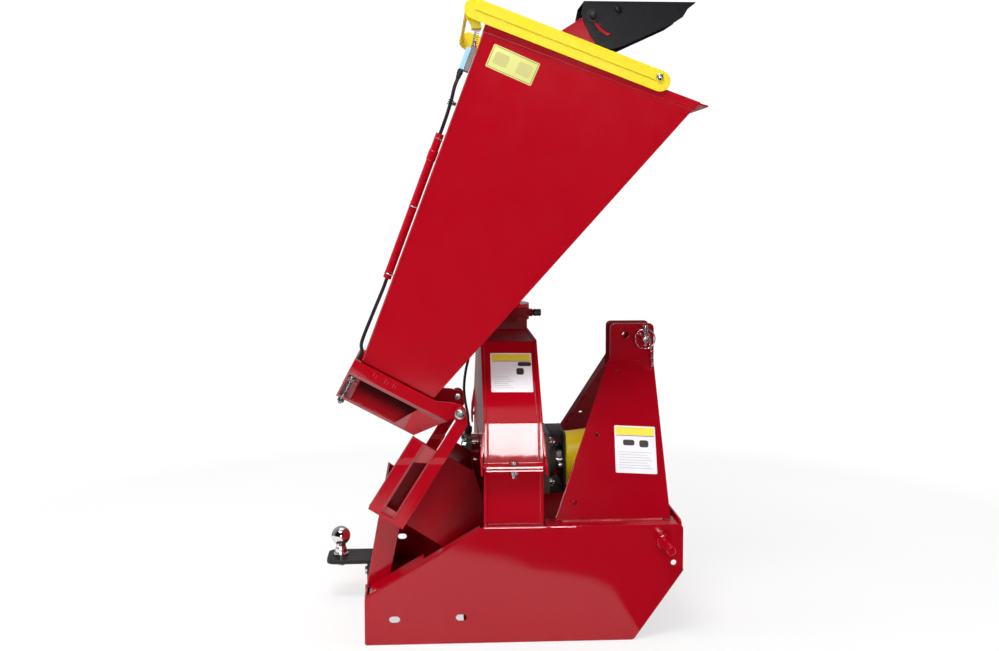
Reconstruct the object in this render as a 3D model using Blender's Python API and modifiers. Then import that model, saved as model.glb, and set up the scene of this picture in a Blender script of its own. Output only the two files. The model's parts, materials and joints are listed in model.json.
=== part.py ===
# Tractor wood chipper with a folding infeed hopper.
# Units are metres, +Z up.  +X points to the tractor, -Y is the hopper side.
# The first coordinate "u" used below is X before the whole model is centred.
import bpy
import bmesh
import math
from mathutils import Vector, Matrix

for _o in list(bpy.data.objects):
    bpy.data.objects.remove(_o, do_unlink=True)

# ---------------------------------------------------------------- dimensions
XC = 0.1920              # u of the model's middle

BASE_HALF_Y = 0.345      # outer face of the side plates
PLATE_T = 0.005
ROT_Z = 0.370            # rotor axis height
HOUSE_APOTHEM = 0.335    # octagonal disc housing
HOUSE_U0, HOUSE_U1 = 0.090, 0.233
CORNER_Y, CORNER_H = -0.318, 0.157 # near corner of the upper half, from the rotor axis
WALL_T = 0.008
SPLIT_Z = 0.4255
DISC_R = 0.3175
SHAFT_R = 0.0250

PIN_U, PIN_Z = 0.033, 0.553        # hopper fold axis
FOLD_SLOPE = math.radians(28.0)    # folded hopper frame, below horizontal
WORK_SLOPE = math.radians(58.0)    # fixed infeed frame, below horizontal
HF_Y0, HF_Y1 = -0.298, -0.080      # hopper frame outer faces
FF_Y0, FF_Y1 = -0.337, -0.041      # fixed frame outer faces

MOUTH_Y = 0.155                    # hopper mouth middle is at -MOUTH_Y
SHEET = 0.003

CHUTE_U, CHUTE_Y = 0.160, 0.205    # discharge swivel axis
NECK_TOP = 0.760
CHUTE_HALF_Y = 0.065
DEF_U, DEF_Z = 0.481, 1.583        # deflector pivot
LOCK_U, LOCK_Z = 0.412, 1.567

BAR_U, BAR_Z = 0.489, 1.340        # safety bar pivot
BAR_T = 0.003
BAR_W = 0.048

HITCH_U, HITCH_Z = 0.523, 0.243    # lower hitch pins
TOP_U, TOP_Z = 0.5256, 0.697       # top link pin
PIN_TOP_R = 0.0094

# ---------------------------------------------------------------- materials
def material(name, rgb, rough, metal):
    m = bpy.data.materials.new(name)
    m.use_nodes = True
    b = m.node_tree.nodes["Principled BSDF"]
    b.inputs["Base Color"].default_value = (rgb[0], rgb[1], rgb[2], 1.0)
    b.inputs["Roughness"].default_value = rough
    b.inputs["Metallic"].default_value = metal
    m.diffuse_color = (rgb[0], rgb[1], rgb[2], 1.0)
    return m


RED = (0.36, 0.004, 0.012)
LOOKS = {
    "red": (RED, 0.35, 0.0),
    "yellow": ((0.88, 0.68, 0.02), 0.4, 0.0),
    "guard": ((0.75, 0.50, 0.01), 0.5, 0.0),
    "black": ((0.02, 0.02, 0.022), 0.5, 0.0),
    "bracket": ((0.045, 0.040, 0.037), 0.55, 0.0),
    "bearing": ((0.06, 0.058, 0.045), 0.5, 0.3),
    "zinc": ((0.62, 0.63, 0.64), 0.35, 1.0),
    "chrome": ((0.8, 0.8, 0.8), 0.1, 1.0),
    "steel": ((0.45, 0.45, 0.46), 0.4, 1.0),
    "disc": ((0.25, 0.25, 0.26), 0.45, 1.0),
    "rubber": ((0.015, 0.015, 0.015), 0.7, 0.0),
    "cable": ((0.012, 0.012, 0.012), 0.5, 0.0),
    "grey": ((0.18, 0.16, 0.15), 0.5, 0.0),
    "blue": ((0.30, 0.58, 0.93), 0.4, 0.0),
}

# ---------------------------------------------------------------- collections
part = bpy.data.collections.new("tractor_wood_chipper")
cutters = bpy.data.collections.new("cutters")
bpy.context.scene.collection.children.link(part)
bpy.context.scene.collection.children.link(cutters)


def depsgraph():
    bpy.context.view_layer.update()
    return bpy.context.evaluated_depsgraph_get()


def work_object(me):
    o = bpy.data.objects.new("work", me)
    cutters.objects.link(o)
    return o


def evaluated_mesh(o):
    return bpy.data.meshes.new_from_object(o.evaluated_get(depsgraph()))


def drop(o):
    bpy.data.objects.remove(o, do_unlink=True)


def weld(me, dist=1e-5):
    bm = bmesh.new()
    bm.from_mesh(me)
    bmesh.ops.remove_doubles(bm, verts=bm.verts, dist=dist)
    bmesh.ops.recalc_face_normals(bm, faces=bm.faces)
    bm.to_mesh(me)
    bm.free()
    return me


# ---------------------------------------------------------------- frames
def W(u, y, z):
    return Vector((u - XC, y, z))


def basis(origin, ex, ey):
    ex = Vector(ex).normalized()
    ey = Vector(ey).normalized()
    ez = ex.cross(ey)
    m = Matrix((ex, ey, ez)).transposed().to_4x4()
    m.translation = origin
    return m


# directions in the u-z plane of the two frames, as seen from the hopper side
A_H = Vector((-math.cos(FOLD_SLOPE), 0, math.sin(FOLD_SLOPE)))
P_H = Vector((-math.sin(FOLD_SLOPE), 0, -math.cos(FOLD_SLOPE)))
A_F = Vector((-math.cos(WORK_SLOPE), 0, -math.sin(WORK_SLOPE)))
P_F = Vector((math.sin(WORK_SLOPE), 0, -math.cos(WORK_SLOPE)))
PIN = W(PIN_U, 0, PIN_Z)


def fr(kind, a, y, p):
    A, P = (A_H, P_H) if kind == "h" else (A_F, P_F)
    return PIN + A * a + P * p + Vector((0, y, 0))


# ---------------------------------------------------------------- modelling
def rounded(pts, r, seg=4):
    """Round each corner of a polygon; r is one radius or one for each."""
    out = []
    n = len(pts)
    for i in range(n):
        ri = r[i] if isinstance(r, (list, tuple)) else r
        p = Vector(pts[i]).to_2d() if len(pts[i]) > 2 else Vector(pts[i])
        a = Vector(pts[i - 1])
        b = Vector(pts[(i + 1) % n])
        if ri <= 0:
            out.append((p.x, p.y))
            continue
        da = (a - p).normalized()
        db = (b - p).normalized()
        half = da.angle(db) / 2
        t = min(ri / math.tan(half), 0.45 * (a - p).length, 0.45 * (b - p).length)
        rr = t * math.tan(half)
        c = p + (da + db).normalized() * (rr / math.sin(half))
        s = p + da * t - c
        e = p + db * t - c
        ang = s.angle_signed(e)
        for k in range(seg + 1):
            q = s.copy()
            q.rotate(Matrix.Rotation(-ang * k / seg, 2))
            out.append((c.x + q.x, c.y + q.y))
    return out


def circle(cx, cy, r, n=24, start=0.0):
    return [(cx + r * math.cos(start + 2 * math.pi * k / n),
             cy + r * math.sin(start + 2 * math.pi * k / n)) for k in range(n)]


def stadium(p, q, r, n=8):
    """Outline of a slot or bar with round ends."""
    p, q = Vector(p), Vector(q)
    d = (q - p).normalized()
    a0 = math.atan2(d.y, d.x)
    out = []
    for k in range(n + 1):
        a = a0 - math.pi / 2 + math.pi * k / n
        out.append((q.x + r * math.cos(a), q.y + r * math.sin(a)))
    for k in range(n + 1):
        a = a0 + math.pi / 2 + math.pi * k / n
        out.append((p.x + r * math.cos(a), p.y + r * math.sin(a)))
    return out


def prism(outline, depth, m, holes=()):
    """Flat outline with holes, extruded by half its thickness either way."""
    cu = bpy.data.curves.new("outline", "CURVE")
    cu.dimensions = "2D"
    cu.fill_mode = "BOTH"
    cu.extrude = depth / 2
    cu.resolution_u = 1
    cu.render_resolution_u = 0
    for loop in [outline] + list(holes):
        sp = cu.splines.new("POLY")
        sp.points.add(len(loop) - 1)
        for k, q in enumerate(loop):
            sp.points[k].co = (q[0], q[1], 0, 1)
        sp.use_cyclic_u = True
    o = bpy.data.objects.new("outline", cu)
    cutters.objects.link(o)
    me = evaluated_mesh(o)
    drop(o)
    weld(me)
    me.transform(m)
    return work_object(me)


def prism_y(outline, y0, y1, holes=()):
    """Outline in (u, z), thick from y0 to y1."""
    m = basis(W(0, (y0 + y1) / 2, 0), (1, 0, 0), (0, 0, 1))
    return prism(outline, abs(y1 - y0), m, holes)


def prism_x(outline, u0, u1, holes=()):
    """Outline in (y, z), thick from u0 to u1."""
    m = basis(W((u0 + u1) / 2, 0, 0), (0, 1, 0), (0, 0, 1))
    return prism(outline, abs(u1 - u0), m, holes)


def prism_z(outline, z0, z1, holes=()):
    """Outline in (u, y), thick from z0 to z1."""
    m = basis(W(0, 0, (z0 + z1) / 2), (1, 0, 0), (0, 1, 0))
    return prism(outline, abs(z1 - z0), m, holes)


def prism_f(kind, outline, y0, y1, holes=()):
    """Outline in a frame's (a, p) plane, thick from y0 to y1."""
    A, P = (A_H, P_H) if kind == "h" else (A_F, P_F)
    m = basis(PIN + Vector((0, (y0 + y1) / 2, 0)), A, P)
    return prism(outline, abs(y1 - y0), m, holes)


def block(lo, hi, m=None):
    bm = bmesh.new()
    bmesh.ops.create_cube(bm, size=1.0)
    me = bpy.data.meshes.new("block")
    bm.to_mesh(me)
    bm.free()
    c = [(lo[i] + hi[i]) / 2 for i in range(3)]
    s = [abs(hi[i] - lo[i]) for i in range(3)]
    me.transform(Matrix.Translation(c) @ Matrix.Diagonal((s[0], s[1], s[2], 1)))
    me.transform(m if m else Matrix.Translation(W(0, 0, 0)))
    return work_object(me)


def cone(p0, p1, r0, r1=None, n=24, turn=0.0):
    p0, p1 = Vector(p0), Vector(p1)
    d = p1 - p0
    bm = bmesh.new()
    bmesh.ops.create_cone(bm, cap_ends=True, cap_tris=False, segments=n,
                          radius1=r0, radius2=r0 if r1 is None else r1, depth=d.length)
    me = bpy.data.meshes.new("cone")
    bm.to_mesh(me)
    bm.free()
    q = d.to_track_quat("Z", "Y").to_matrix().to_4x4()
    me.transform(Matrix.Translation((p0 + p1) / 2) @ q @ Matrix.Rotation(turn, 4, "Z"))
    return work_object(me)


def turned(profile, p0, axis, n=32):
    """Screw of a closed (r, h) profile about an axis through p0."""
    me = bpy.data.meshes.new("turned")
    vs = [(r, 0, h) for r, h in profile]
    on_axis = profile[0][0] < 1e-7 and profile[-1][0] < 1e-7
    es = [(i, i + 1) for i in range(len(vs) - 1)]
    if not on_axis:
        es.append((len(vs) - 1, 0))
    me.from_pydata(vs, es, [])
    o = work_object(me)
    s = o.modifiers.new("Screw", "SCREW")
    s.steps = s.render_steps = n
    s.use_merge_vertices = True
    s.merge_threshold = 1e-4
    me2 = evaluated_mesh(o)
    drop(o)
    weld(me2, 2e-5)
    q = Vector(axis).to_track_quat("Z", "Y").to_matrix().to_4x4()
    me2.transform(Matrix.Translation(p0) @ q)
    return work_object(me2)


def tube(pts, r, res=2, cyclic=False):
    cu = bpy.data.curves.new("tube", "CURVE")
    cu.dimensions = "3D"
    cu.bevel_depth = r
    cu.bevel_resolution = res
    cu.use_fill_caps = True
    cu.resolution_u = 1
    cu.render_resolution_u = 0
    sp = cu.splines.new("POLY")
    sp.points.add(len(pts) - 1)
    for k, q in enumerate(pts):
        sp.points[k].co = (q[0], q[1], q[2], 1)
    sp.use_cyclic_u = cyclic
    o = bpy.data.objects.new("tube", cu)
    cutters.objects.link(o)
    me = evaluated_mesh(o)
    drop(o)
    weld(me)
    return work_object(me)


def torus(center, normal, major, minor, n=32, k=8):
    me = bpy.data.meshes.new("ring")
    vs = [(major + minor * math.cos(2 * math.pi * i / k), 0,
           minor * math.sin(2 * math.pi * i / k)) for i in range(k)]
    me.from_pydata(vs, [(i, (i + 1) % k) for i in range(k)], [])
    o = work_object(me)
    s = o.modifiers.new("Screw", "SCREW")
    s.steps = s.render_steps = n
    s.use_merge_vertices = True
    s.merge_threshold = 1e-4
    me2 = evaluated_mesh(o)
    drop(o)
    weld(me2, 2e-5)
    q = Vector(normal).to_track_quat("Z", "Y").to_matrix().to_4x4()
    me2.transform(Matrix.Translation(center) @ q)
    return work_object(me2)


def catmull(pts, step):
    """Points every step along a smooth curve through the route's points."""
    P = [Vector(p) for p in pts]
    P = [2 * P[0] - P[1]] + P + [2 * P[-1] - P[-2]]
    fine = []
    for i in range(1, len(P) - 2):
        for k in range(24):
            t = k / 24
            a, b, c, d = P[i - 1], P[i], P[i + 1], P[i + 2]
            fine.append(0.5 * ((2 * b) + (c - a) * t + (2 * a - 5 * b + 4 * c - d) * t * t
                               + (3 * b - a - 3 * c + d) * t ** 3))
    fine.append(P[-2])
    total = sum((fine[i + 1] - fine[i]).length for i in range(len(fine) - 1))
    n = max(3, round(total / step))
    out, acc, goal = [fine[0]], 0.0, total / n
    for i in range(len(fine) - 1):
        seg = (fine[i + 1] - fine[i]).length
        while acc + seg >= goal - 1e-9 and len(out) < n:
            out.append(fine[i].lerp(fine[i + 1], (goal - acc) / seg if seg else 0))
            goal += total / n
        acc += seg
    out.append(fine[-1])
    return out


def ring_loft(rings):
    """Closed wall through a list of rings, each with the same number of points.
    The last ring joins the first, so the rings run up outside and down inside."""
    n = len(rings[0])
    vs = [tuple(p) for r in rings for p in r]
    fs = []
    m = len(rings)
    for i in range(m):
        j = (i + 1) % m
        for k in range(n):
            l = (k + 1) % n
            fs.append((i * n + k, i * n + l, j * n + l, j * n + k))
    me = bpy.data.meshes.new("loft")
    me.from_pydata(vs, [], fs)
    bm = bmesh.new()
    bm.from_mesh(me)
    bmesh.ops.recalc_face_normals(bm, faces=bm.faces)
    bm.to_mesh(me)
    bm.free()
    return work_object(me)


def boolean(base, others, op):
    for o in others:
        md = base.modifiers.new(op, "BOOLEAN")
        md.operation = op
        md.solver = "EXACT"
        md.object = o
        me = evaluated_mesh(base)
        drop(base)
        drop(o)
        base = work_object(me)
    return base


def union(*obs):
    return boolean(obs[0], obs[1:], "UNION")


def cut(base, *obs):
    return boolean(base, obs, "DIFFERENCE")


def mirrored(me):
    """Copy of a mesh mirrored through the X-Z plane."""
    m2 = me.copy()
    m2.transform(Matrix.Diagonal((1, -1, 1, 1)))
    m2.flip_normals()
    return work_object(m2)


def node(o, name, look, parent=None, origin=None, smooth=30, clean=True):
    """Give a finished shape its name, material, collection and origin."""
    me = o.data
    if clean:
        bm = bmesh.new()
        bm.from_mesh(me)
        bmesh.ops.remove_doubles(bm, verts=bm.verts, dist=2e-6)
        bmesh.ops.recalc_face_normals(bm, faces=bm.faces)
        bm.to_mesh(me)
        bm.free()
    me.materials.clear()
    rgb, rough, metal = LOOKS[look]
    me.materials.append(material(name + "_material", rgb, rough, metal))
    me.shade_smooth()
    me.set_sharp_from_angle(angle=math.radians(smooth))
    me.name = name
    cutters.objects.unlink(o)
    part.objects.link(o)
    o.name = name
    at = Vector(origin) if origin else Vector((0, 0, 0))
    if parent:
        base = parent.matrix_world.translation
        me.transform(Matrix.Translation(-at if origin else -base))
        o.parent = parent
        o.location = (at - base) if origin else (0, 0, 0)
    else:
        me.transform(Matrix.Translation(-at))
        o.location = at
    return o


def empty(name, at, parent=None):
    e = bpy.data.objects.new(name, None)
    part.objects.link(e)
    e.empty_display_size = 0.05
    if parent:
        e.parent = parent
        e.location = Vector(at) - parent.matrix_world.translation
    else:
        e.location = at
    bpy.context.view_layer.update()
    return e


# joint axes
hopper_axis = empty("hopper_axis", W(PIN_U, 0, PIN_Z))
bar_axis = empty("bar_axis", W(BAR_U, 0, BAR_Z), hopper_axis)
rotor_axis = empty("rotor_axis", W(0.16, 0, ROT_Z))
chute_axis = empty("chute_axis", W(CHUTE_U, CHUTE_Y, NECK_TOP))
deflector_axis = empty("deflector_axis", W(DEF_U, CHUTE_Y, DEF_Z), chute_axis)

# ================================================================ BASE
side = [(-0.195, 0.0004), (0.451, 0.0004), (0.57, 0.167), (0.57, 0.282), (0.088, 0.282), (-0.195, 0.117)]
holes = [stadium((-0.129, 0.061), (-0.119, 0.061), 0.008),
         stadium((0.030, 0.063), (0.040, 0.063), 0.008),
         circle(0.547, 0.188, 0.007, 16), circle(HITCH_U, HITCH_Z, 0.0115, 24)]
plate = prism_y(rounded(side, [0.006, 0.012, 0.012, 0.012, 0.0, 0.012]), -BASE_HALF_Y, -BASE_HALF_Y + PLATE_T, holes)
yi = -BASE_HALF_Y + PLATE_T - 0.001
skid = block((-0.187, yi, 0.0), (0.443, -0.285, 0.005))
sl = Vector((0.283, 0.165)).normalized()


def slope_pt(u, drop_n=0.0):
    z = 0.117 + (u + 0.195) * 0.165 / 0.283
    return (u + drop_n * sl.y, z - drop_n * sl.x)


flange_w = prism_y([slope_pt(-0.185, 0.0008), slope_pt(-0.055, 0.0008), slope_pt(-0.055, 0.0058), slope_pt(-0.185, 0.0058)], yi, -0.270)
flange_n = prism_y([slope_pt(-0.070, 0.0004), slope_pt(0.080, 0.0004), slope_pt(0.080, 0.0054), slope_pt(-0.070, 0.0054)], yi - 0.0006, -0.312)
top_fl = block((0.240, yi, 0.2766), (0.5615, -0.270, 0.2816))
near = union(plate, skid, flange_w, flange_n, top_fl)
side_near = node(near, "side_plate_near", "red")
node(mirrored(side_near.data), "side_plate_far", "red", clean=False)

# rear panel: upright foot, then a panel leaning in, with side flanges
foot = block((-0.195, -0.3395, 0.0055), (-0.190, 0.3395, 0.119))
lean = prism_y([(-0.195, 0.112), (-0.190, 0.112), (-0.1565, 0.301), (-0.1615, 0.303)], -0.268, 0.268)
fl = [(-0.1935, 0.119), (-0.1435, 0.119), (-0.1115, 0.270), (-0.1600, 0.302)]
f1 = prism_y(fl, -0.268, -0.263)
f2 = prism_y(fl, 0.263, 0.268)
rear = union(foot, lean, f1, f2)
rear = cut(rear, cone(W(-0.21, 0, 0.072), W(-0.18, 0, 0.072), 0.0066, n=16),
           cone(W(-0.21, 0, 0.022), W(-0.18, 0, 0.022), 0.0066, n=16))
node(rear, "rear_panel", "red")

front = prism_x(rounded([(-0.3395, 0.180), (0.3395, 0.180), (0.3395, 0.290), (-0.3395, 0.290)],
                        [0, 0, 0.012, 0.012]), 0.5622, 0.5672)
node(front, "front_crossplate", "red")


def angle_bar(u0, z0, du, dz):
    t = 0.005
    sx = 1 if du > 0 else -1
    pts = [(u0, z0), (u0 + du, z0), (u0 + du, z0 + t), (u0 + sx * t, z0 + t), (u0 + sx * t, z0 + dz), (u0, z0 + dz)]
    return prism_y(pts, -0.2845, 0.2845)


node(angle_bar(0.0893, 0.0055, -0.045, 0.06), "cross_bar_rear", "red")
node(angle_bar(0.2337, 0.0055, 0.045, 0.06), "cross_bar_front", "red")

# ---------------------------------------------------------------- A-frame
lean_v = Vector((0, 0.265, 0.3585))
L = lean_v.length
ef = lean_v.normalized()
m_lean = basis(W(0, -0.300, 0.2825), (1, 0, 0), ef)
edge = Vector((0.437 - 0.266, L))
en = edge.normalized()


def on_edge(f, inset):
    p = Vector((0.266, 0)) + edge * f
    return (p.x + en.y * inset, p.y - en.x * inset)


leaf = prism([(0.266, 0.0), (0.5475, 0.0), (0.553, L + 0.006), (0.437, L + 0.006)], 0.006, m_lean,
             [circle(*on_edge(f, 0.031), 0.0055, 12) for f in (0.124, 0.529, 0.931)])
strip_m = basis(m_lean @ Vector((0.266, 0.0, -0.0005)), m_lean.to_3x3() @ Vector((en.x, en.y, 0)), m_lean.to_3x3() @ Vector((0, 0, -1)))
strip = prism([(0.006, 0.0), (edge.length - 0.006, 0.0), (edge.length - 0.006, 0.026), (0.030, 0.026)], 0.005, strip_m)
ear = prism_y(rounded([(0.437, 0.632), (0.553, 0.632), (0.553, 0.735), (0.437, 0.735)], [0, 0, 0.012, 0.012]),
              -0.0415, -0.0315, [circle(0.478, 0.704, 0.0095, 24), circle(TOP_U, TOP_Z, 0.0098, 24)])
# the leaning leaf stops where the upright ear begins
aframe = union(leaf, ear)
aframe = union(aframe, strip)
aframe = cut(aframe, block((0.2, -0.40, 0.22), (0.6, -0.2, 0.2824)))
aframe = node(aframe, "aframe_plate_near", "red")
node(mirrored(aframe.data), "aframe_plate_far", "red", clean=False)

# top link pin with a linch pin through its end
tp = union(cone(W(TOP_U, -0.080, TOP_Z), W(TOP_U, 0.055, TOP_Z), PIN_TOP_R, n=24),
           cone(W(TOP_U, 0.050, TOP_Z), W(TOP_U, 0.060, TOP_Z), 0.0145, n=24))
tp = cut(tp, cone(W(TOP_U, -0.066, TOP_Z - 0.03), W(TOP_U, -0.066, TOP_Z + 0.03), 0.0045, n=16))
node(tp, "top_link_pin", "zinc")
lp = union(cone(W(TOP_U, -0.066, 0.6765), W(TOP_U, -0.066, 0.716), 0.0040, n=12),
           cone(W(TOP_U, -0.066, 0.7135), W(TOP_U, -0.066, 0.7325), 0.0075, n=16))
lp = cut(lp, cone(W(TOP_U - 0.02, -0.066, 0.723), W(TOP_U + 0.02, -0.066, 0.723), 0.0034, n=12))
node(lp, "linch_pin", "zinc")
ring_axis = empty("linch_ring_axis", W(TOP_U, -0.066, 0.723))
node(torus(W(TOP_U, -0.066, 0.697), (0, 1, 0), 0.026, 0.0015, 28, 6), "linch_ring", "zinc", ring_axis)

# ---------------------------------------------------------------- lower hitch pins
hp = turned([(0.0, 0.090), (0.0075, 0.090), (0.0108, 0.086), (0.0108, 0.0145), (0.0195, 0.0145), (0.0195, 0.0003),
             (0.0110, 0.0003), (0.0110, -0.034), (0.0, -0.034)],
            W(HITCH_U, -BASE_HALF_Y, HITCH_Z), (0, -1, 0), 24)
hp = union(hp, cone(W(HITCH_U, -0.3397, HITCH_Z), W(HITCH_U, -0.322, HITCH_Z), 0.019, n=6))
hp = node(hp, "hitch_pin_near", "red")
node(mirrored(hp.data), "hitch_pin_far", "red", clean=False)

# ================================================================ HOUSING
def octagon(ap, n=8):
    r = ap / math.cos(math.pi / 8)
    return [(r * math.cos(math.pi / 8 + k * math.pi / 4), ROT_Z + r * math.sin(math.pi / 8 + k * math.pi / 4)) for k in range(8)]


def octa_part(ap, z, lower):
    """Octagon outline cut at height z, keeping the lower or the upper part.
    The upper half leans in a little from the split to its near corner."""
    pts = octagon(ap)
    if not lower:
        pts[3:4] = [(CORNER_Y * ap / HOUSE_APOTHEM, ROT_Z + CORNER_H * ap / HOUSE_APOTHEM), (-ap, SPLIT_Z)]
    out = []
    n = len(pts)
    keep = (lambda q: q[1] <= z) if lower else (lambda q: q[1] >= z)
    for i in range(n):
        a, b = pts[i], pts[(i + 1) % n]
        if keep(a):
            out.append(a)
        if keep(a) != keep(b):
            t = (z - a[1]) / (b[1] - a[1])
            out.append((a[0] + t * (b[0] - a[0]), z))
    return out


ZL = SPLIT_Z
ZU = SPLIT_Z + 0.0006
throat_hole = rounded([(-0.2865, 0.240), (-0.2350, 0.170), (-0.0900, 0.170), (-0.0900, 0.3335), (-0.2865, 0.3335)], 0.004, 2)
shaft_hole = circle(0, ROT_Z, 0.0300, 24)
wall_r = prism_x(octa_part(HOUSE_APOTHEM, ZL, True), HOUSE_U0, HOUSE_U0 + WALL_T, [throat_hole, shaft_hole])
wall_f = prism_x(octa_part(HOUSE_APOTHEM, ZL, True), HOUSE_U1 - WALL_T, HOUSE_U1, [shaft_hole])
band_lo = octa_part(HOUSE_APOTHEM - 0.003, ZL, True)
band_li = octa_part(HOUSE_APOTHEM - 0.008, ZL + 0.05, True)
band = cut(prism_x(band_lo, HOUSE_U0 + 0.004, HOUSE_U1 - 0.004), prism_x(band_li, HOUSE_U0 - 0.02, HOUSE_U1 + 0.02))


def flange_pair(z0, z1, u0, u1):
    a = block((u0, -0.366, z0), (u1, -0.331, z1))
    b = block((u0, 0.331, z0), (u1, 0.366, z1))
    return a, b


fa, fb = flange_pair(ZL - 0.006, ZL, HOUSE_U0 + 0.002, HOUSE_U1 - 0.002)
lower = union(wall_r, band, wall_f, fa, fb)
for y in (-0.351, 0.351):
    lower = cut(lower, cone(W(0.1615, y, ZL - 0.02), W(0.1615, y, ZL + 0.02), 0.0066, n=16))
node(lower, "housing_lower", "red")

# upper half, with the discharge neck standing on its far facet
UA = HOUSE_APOTHEM
wall_r = prism_x(octa_part(UA, ZU, False), HOUSE_U0, HOUSE_U0 + WALL_T)
wall_f = prism_x(octa_part(UA, ZU, False), HOUSE_U1 - WALL_T, HOUSE_U1)
band_uo = octa_part(UA - 0.003, ZU, False)
band_ui = octa_part(UA - 0.008, ZU - 0.05, False)
band = cut(prism_x(band_uo, HOUSE_U0 + 0.004, HOUSE_U1 - 0.004), prism_x(band_ui, HOUSE_U0 - 0.02, HOUSE_U1 + 0.02))
fa, fb = flange_pair(ZU, ZU + 0.006, HOUSE_U0 - 0.0045, HOUSE_U1 + 0.0030)


def skirt(u, s, sy, out):
    """Flared edge of the upper half's side wall, reaching down past the lower flange."""
    w = [(u - s * 0.0020, 0.5290), (u + s * out, 0.4600), (u + s * out, 0.4100), (u + s * (out - 0.0048), 0.4100),
         (u + s * (out - 0.0048), 0.4450), (u - s * 0.0020, 0.4700)]
    y = [(-0.3668, 0.4080), (-0.3668, 0.4340), (-0.3372, 0.4480), (-0.3185, 0.5310), (-0.3012, 0.5310), (-0.3012, 0.4080)]
    a = prism_y(w, -0.38 * sy, -0.27 * sy)
    b = prism_x([(q[0] * sy, q[1]) for q in y], u - 0.02, u + 0.02)
    return boolean(a, [b], "INTERSECT")


skirts = [skirt(HOUSE_U1, 1, sy, 0.0068) for sy in (1, -1)] + [skirt(HOUSE_U0, -1, sy, 0.0085) for sy in (1, -1)]
neck_box = block((HOUSE_U0 + 0.002, CHUTE_Y - 0.070, 0.535), (HOUSE_U1 - 0.002, CHUTE_Y + 0.070, 0.735))
oct_in = prism_x(octagon(UA - 0.0055), HOUSE_U0 + 0.003, HOUSE_U1 - 0.003)
neck_box = cut(neck_box, oct_in)
neck_ring = cone(W(CHUTE_U, CHUTE_Y, 0.725), W(CHUTE_U, CHUTE_Y, NECK_TOP), 0.0820, n=40)
upper = union(wall_r, band, wall_f, *skirts, fa, fb, neck_box, neck_ring)
upper = cut(upper, block((HOUSE_U0 + 0.008, CHUTE_Y - 0.062, 0.50), (HOUSE_U1 - 0.008, CHUTE_Y + 0.062, 0.727)))
upper = cut(upper, cone(W(CHUTE_U, CHUTE_Y, 0.70), W(CHUTE_U, CHUTE_Y, 0.80), 0.0625, n=40))
boss = cone(W(0.228, CHUTE_Y, 0.742), W(0.252, CHUTE_Y, 0.742), 0.0110, n=20)
upper = union(upper, boss)
upper = cut(upper, cone(W(0.20, CHUTE_Y, 0.742), W(0.26, CHUTE_Y, 0.742), 0.0056, n=16))
for y in (-0.351, 0.351):
    upper = cut(upper, cone(W(0.1615, y, ZU - 0.02), W(0.1615, y, ZU + 0.02), 0.0066, n=16))
node(upper, "housing_upper", "red")


def bolt(p_head, p_end, r, head_r, head_h, nut_h=None, nut_at=None, washer=True, n=12):
    """Hex bolt: p_head is under the head, p_end the thread's end."""
    p_head, p_end = Vector(p_head), Vector(p_end)
    d = (p_end - p_head).normalized()
    b = union(cone(p_head - d * head_h, p_head + d * 0.0001, head_r, n=6), cone(p_head - d * 0.001, p_end, r, n=n))
    if nut_h:
        q = p_head + d * nut_at
        b = union(b, cone(q, q + d * nut_h, head_r, n=6))
    return b


for y, nm in ((-0.351, "near"), (0.351, "far")):
    node(bolt(W(0.1615, y, ZU + 0.0063), W(0.1615, y, ZL - 0.026), 0.0060, 0.0105, 0.0085, 0.0095, 0.0135),
         "housing_bolt_" + nm, "zinc")

# ---------------------------------------------------------------- throat
# side plates and floor run from the infeed frame to the housing wall; the
# collar's first part is straight so that the hopper frame can sit inside it
def to_f(u, z):
    r = Vector((u - PIN_U, 0, z - PIN_Z))
    return (r.dot(A_F), r.dot(P_F))


UW = HOUSE_U0 - 0.0004
t_top = [(0.106, 0.0305), (0.106, 0.106)]
w_top = to_f(UW, 0.3335)
w_bot = to_f(UW, 0.158)
s_out = [t_top[0], t_top[1], w_top, w_bot, (0.3005, 0.106), (0.3005, 0.0305)]


def throat_ring(a_top, a_bot, p_top, p_bot, y0, y1):
    return [fr("f", a_top, y0, p_top), fr("f", a_top, y1, p_top), fr("f", a_bot, y1, p_bot), fr("f", a_bot, y0, p_bot)]


tt = 0.0035
yn, yf = FF_Y0 + 0.0330, FF_Y1 - 0.0325      # outer faces of the straight part
rings = [
    throat_ring(0.106, 0.3005, 0.1065, 0.1065, yn, yf),
    throat_ring(w_top[0] - 0.002, w_bot[0] + 0.002, w_top[1], w_bot[1], -0.2945, -0.0815),
    throat_ring(w_top[0] - 0.002 + tt, w_bot[0] + 0.002 - tt, w_top[1], w_bot[1], -0.2945 + tt, -0.0815 - tt),
    throat_ring(0.106 + tt, 0.3005 - tt, 0.1065, 0.1065, yn + tt, yf - tt),
]
duct = ring_loft(rings)
cheek = [(0.1065, 0.0305), (0.1065, 0.1090), (0.3000, 0.1090), (0.3000, 0.0305)]
c1 = prism_f("f", cheek, yn + 0.0002, yn + tt - 0.0003)
c2 = prism_f("f", cheek, yf - tt + 0.0003, yf - 0.0002)
c3 = prism_f("f", [(0.2972, 0.0310), (0.3002, 0.0310), (0.3002, 0.1088), (0.2972, 0.1088)], yn + 0.0010, yf - 0.0010)
throat = union(duct, c1, c2, c3)
# flush end at the housing wall
throat = cut(throat, block((UW, -0.4, 0.0), (0.3, 0.1, 0.6)))
node(throat, "infeed_throat", "red")

knife = block((HOUSE_U0 + WALL_T + 0.0003, -0.2240, 0.1480), (HOUSE_U0 + WALL_T + 0.0054, -0.0950, 0.1690))
node(knife, "bed_knife", "steel")

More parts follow.
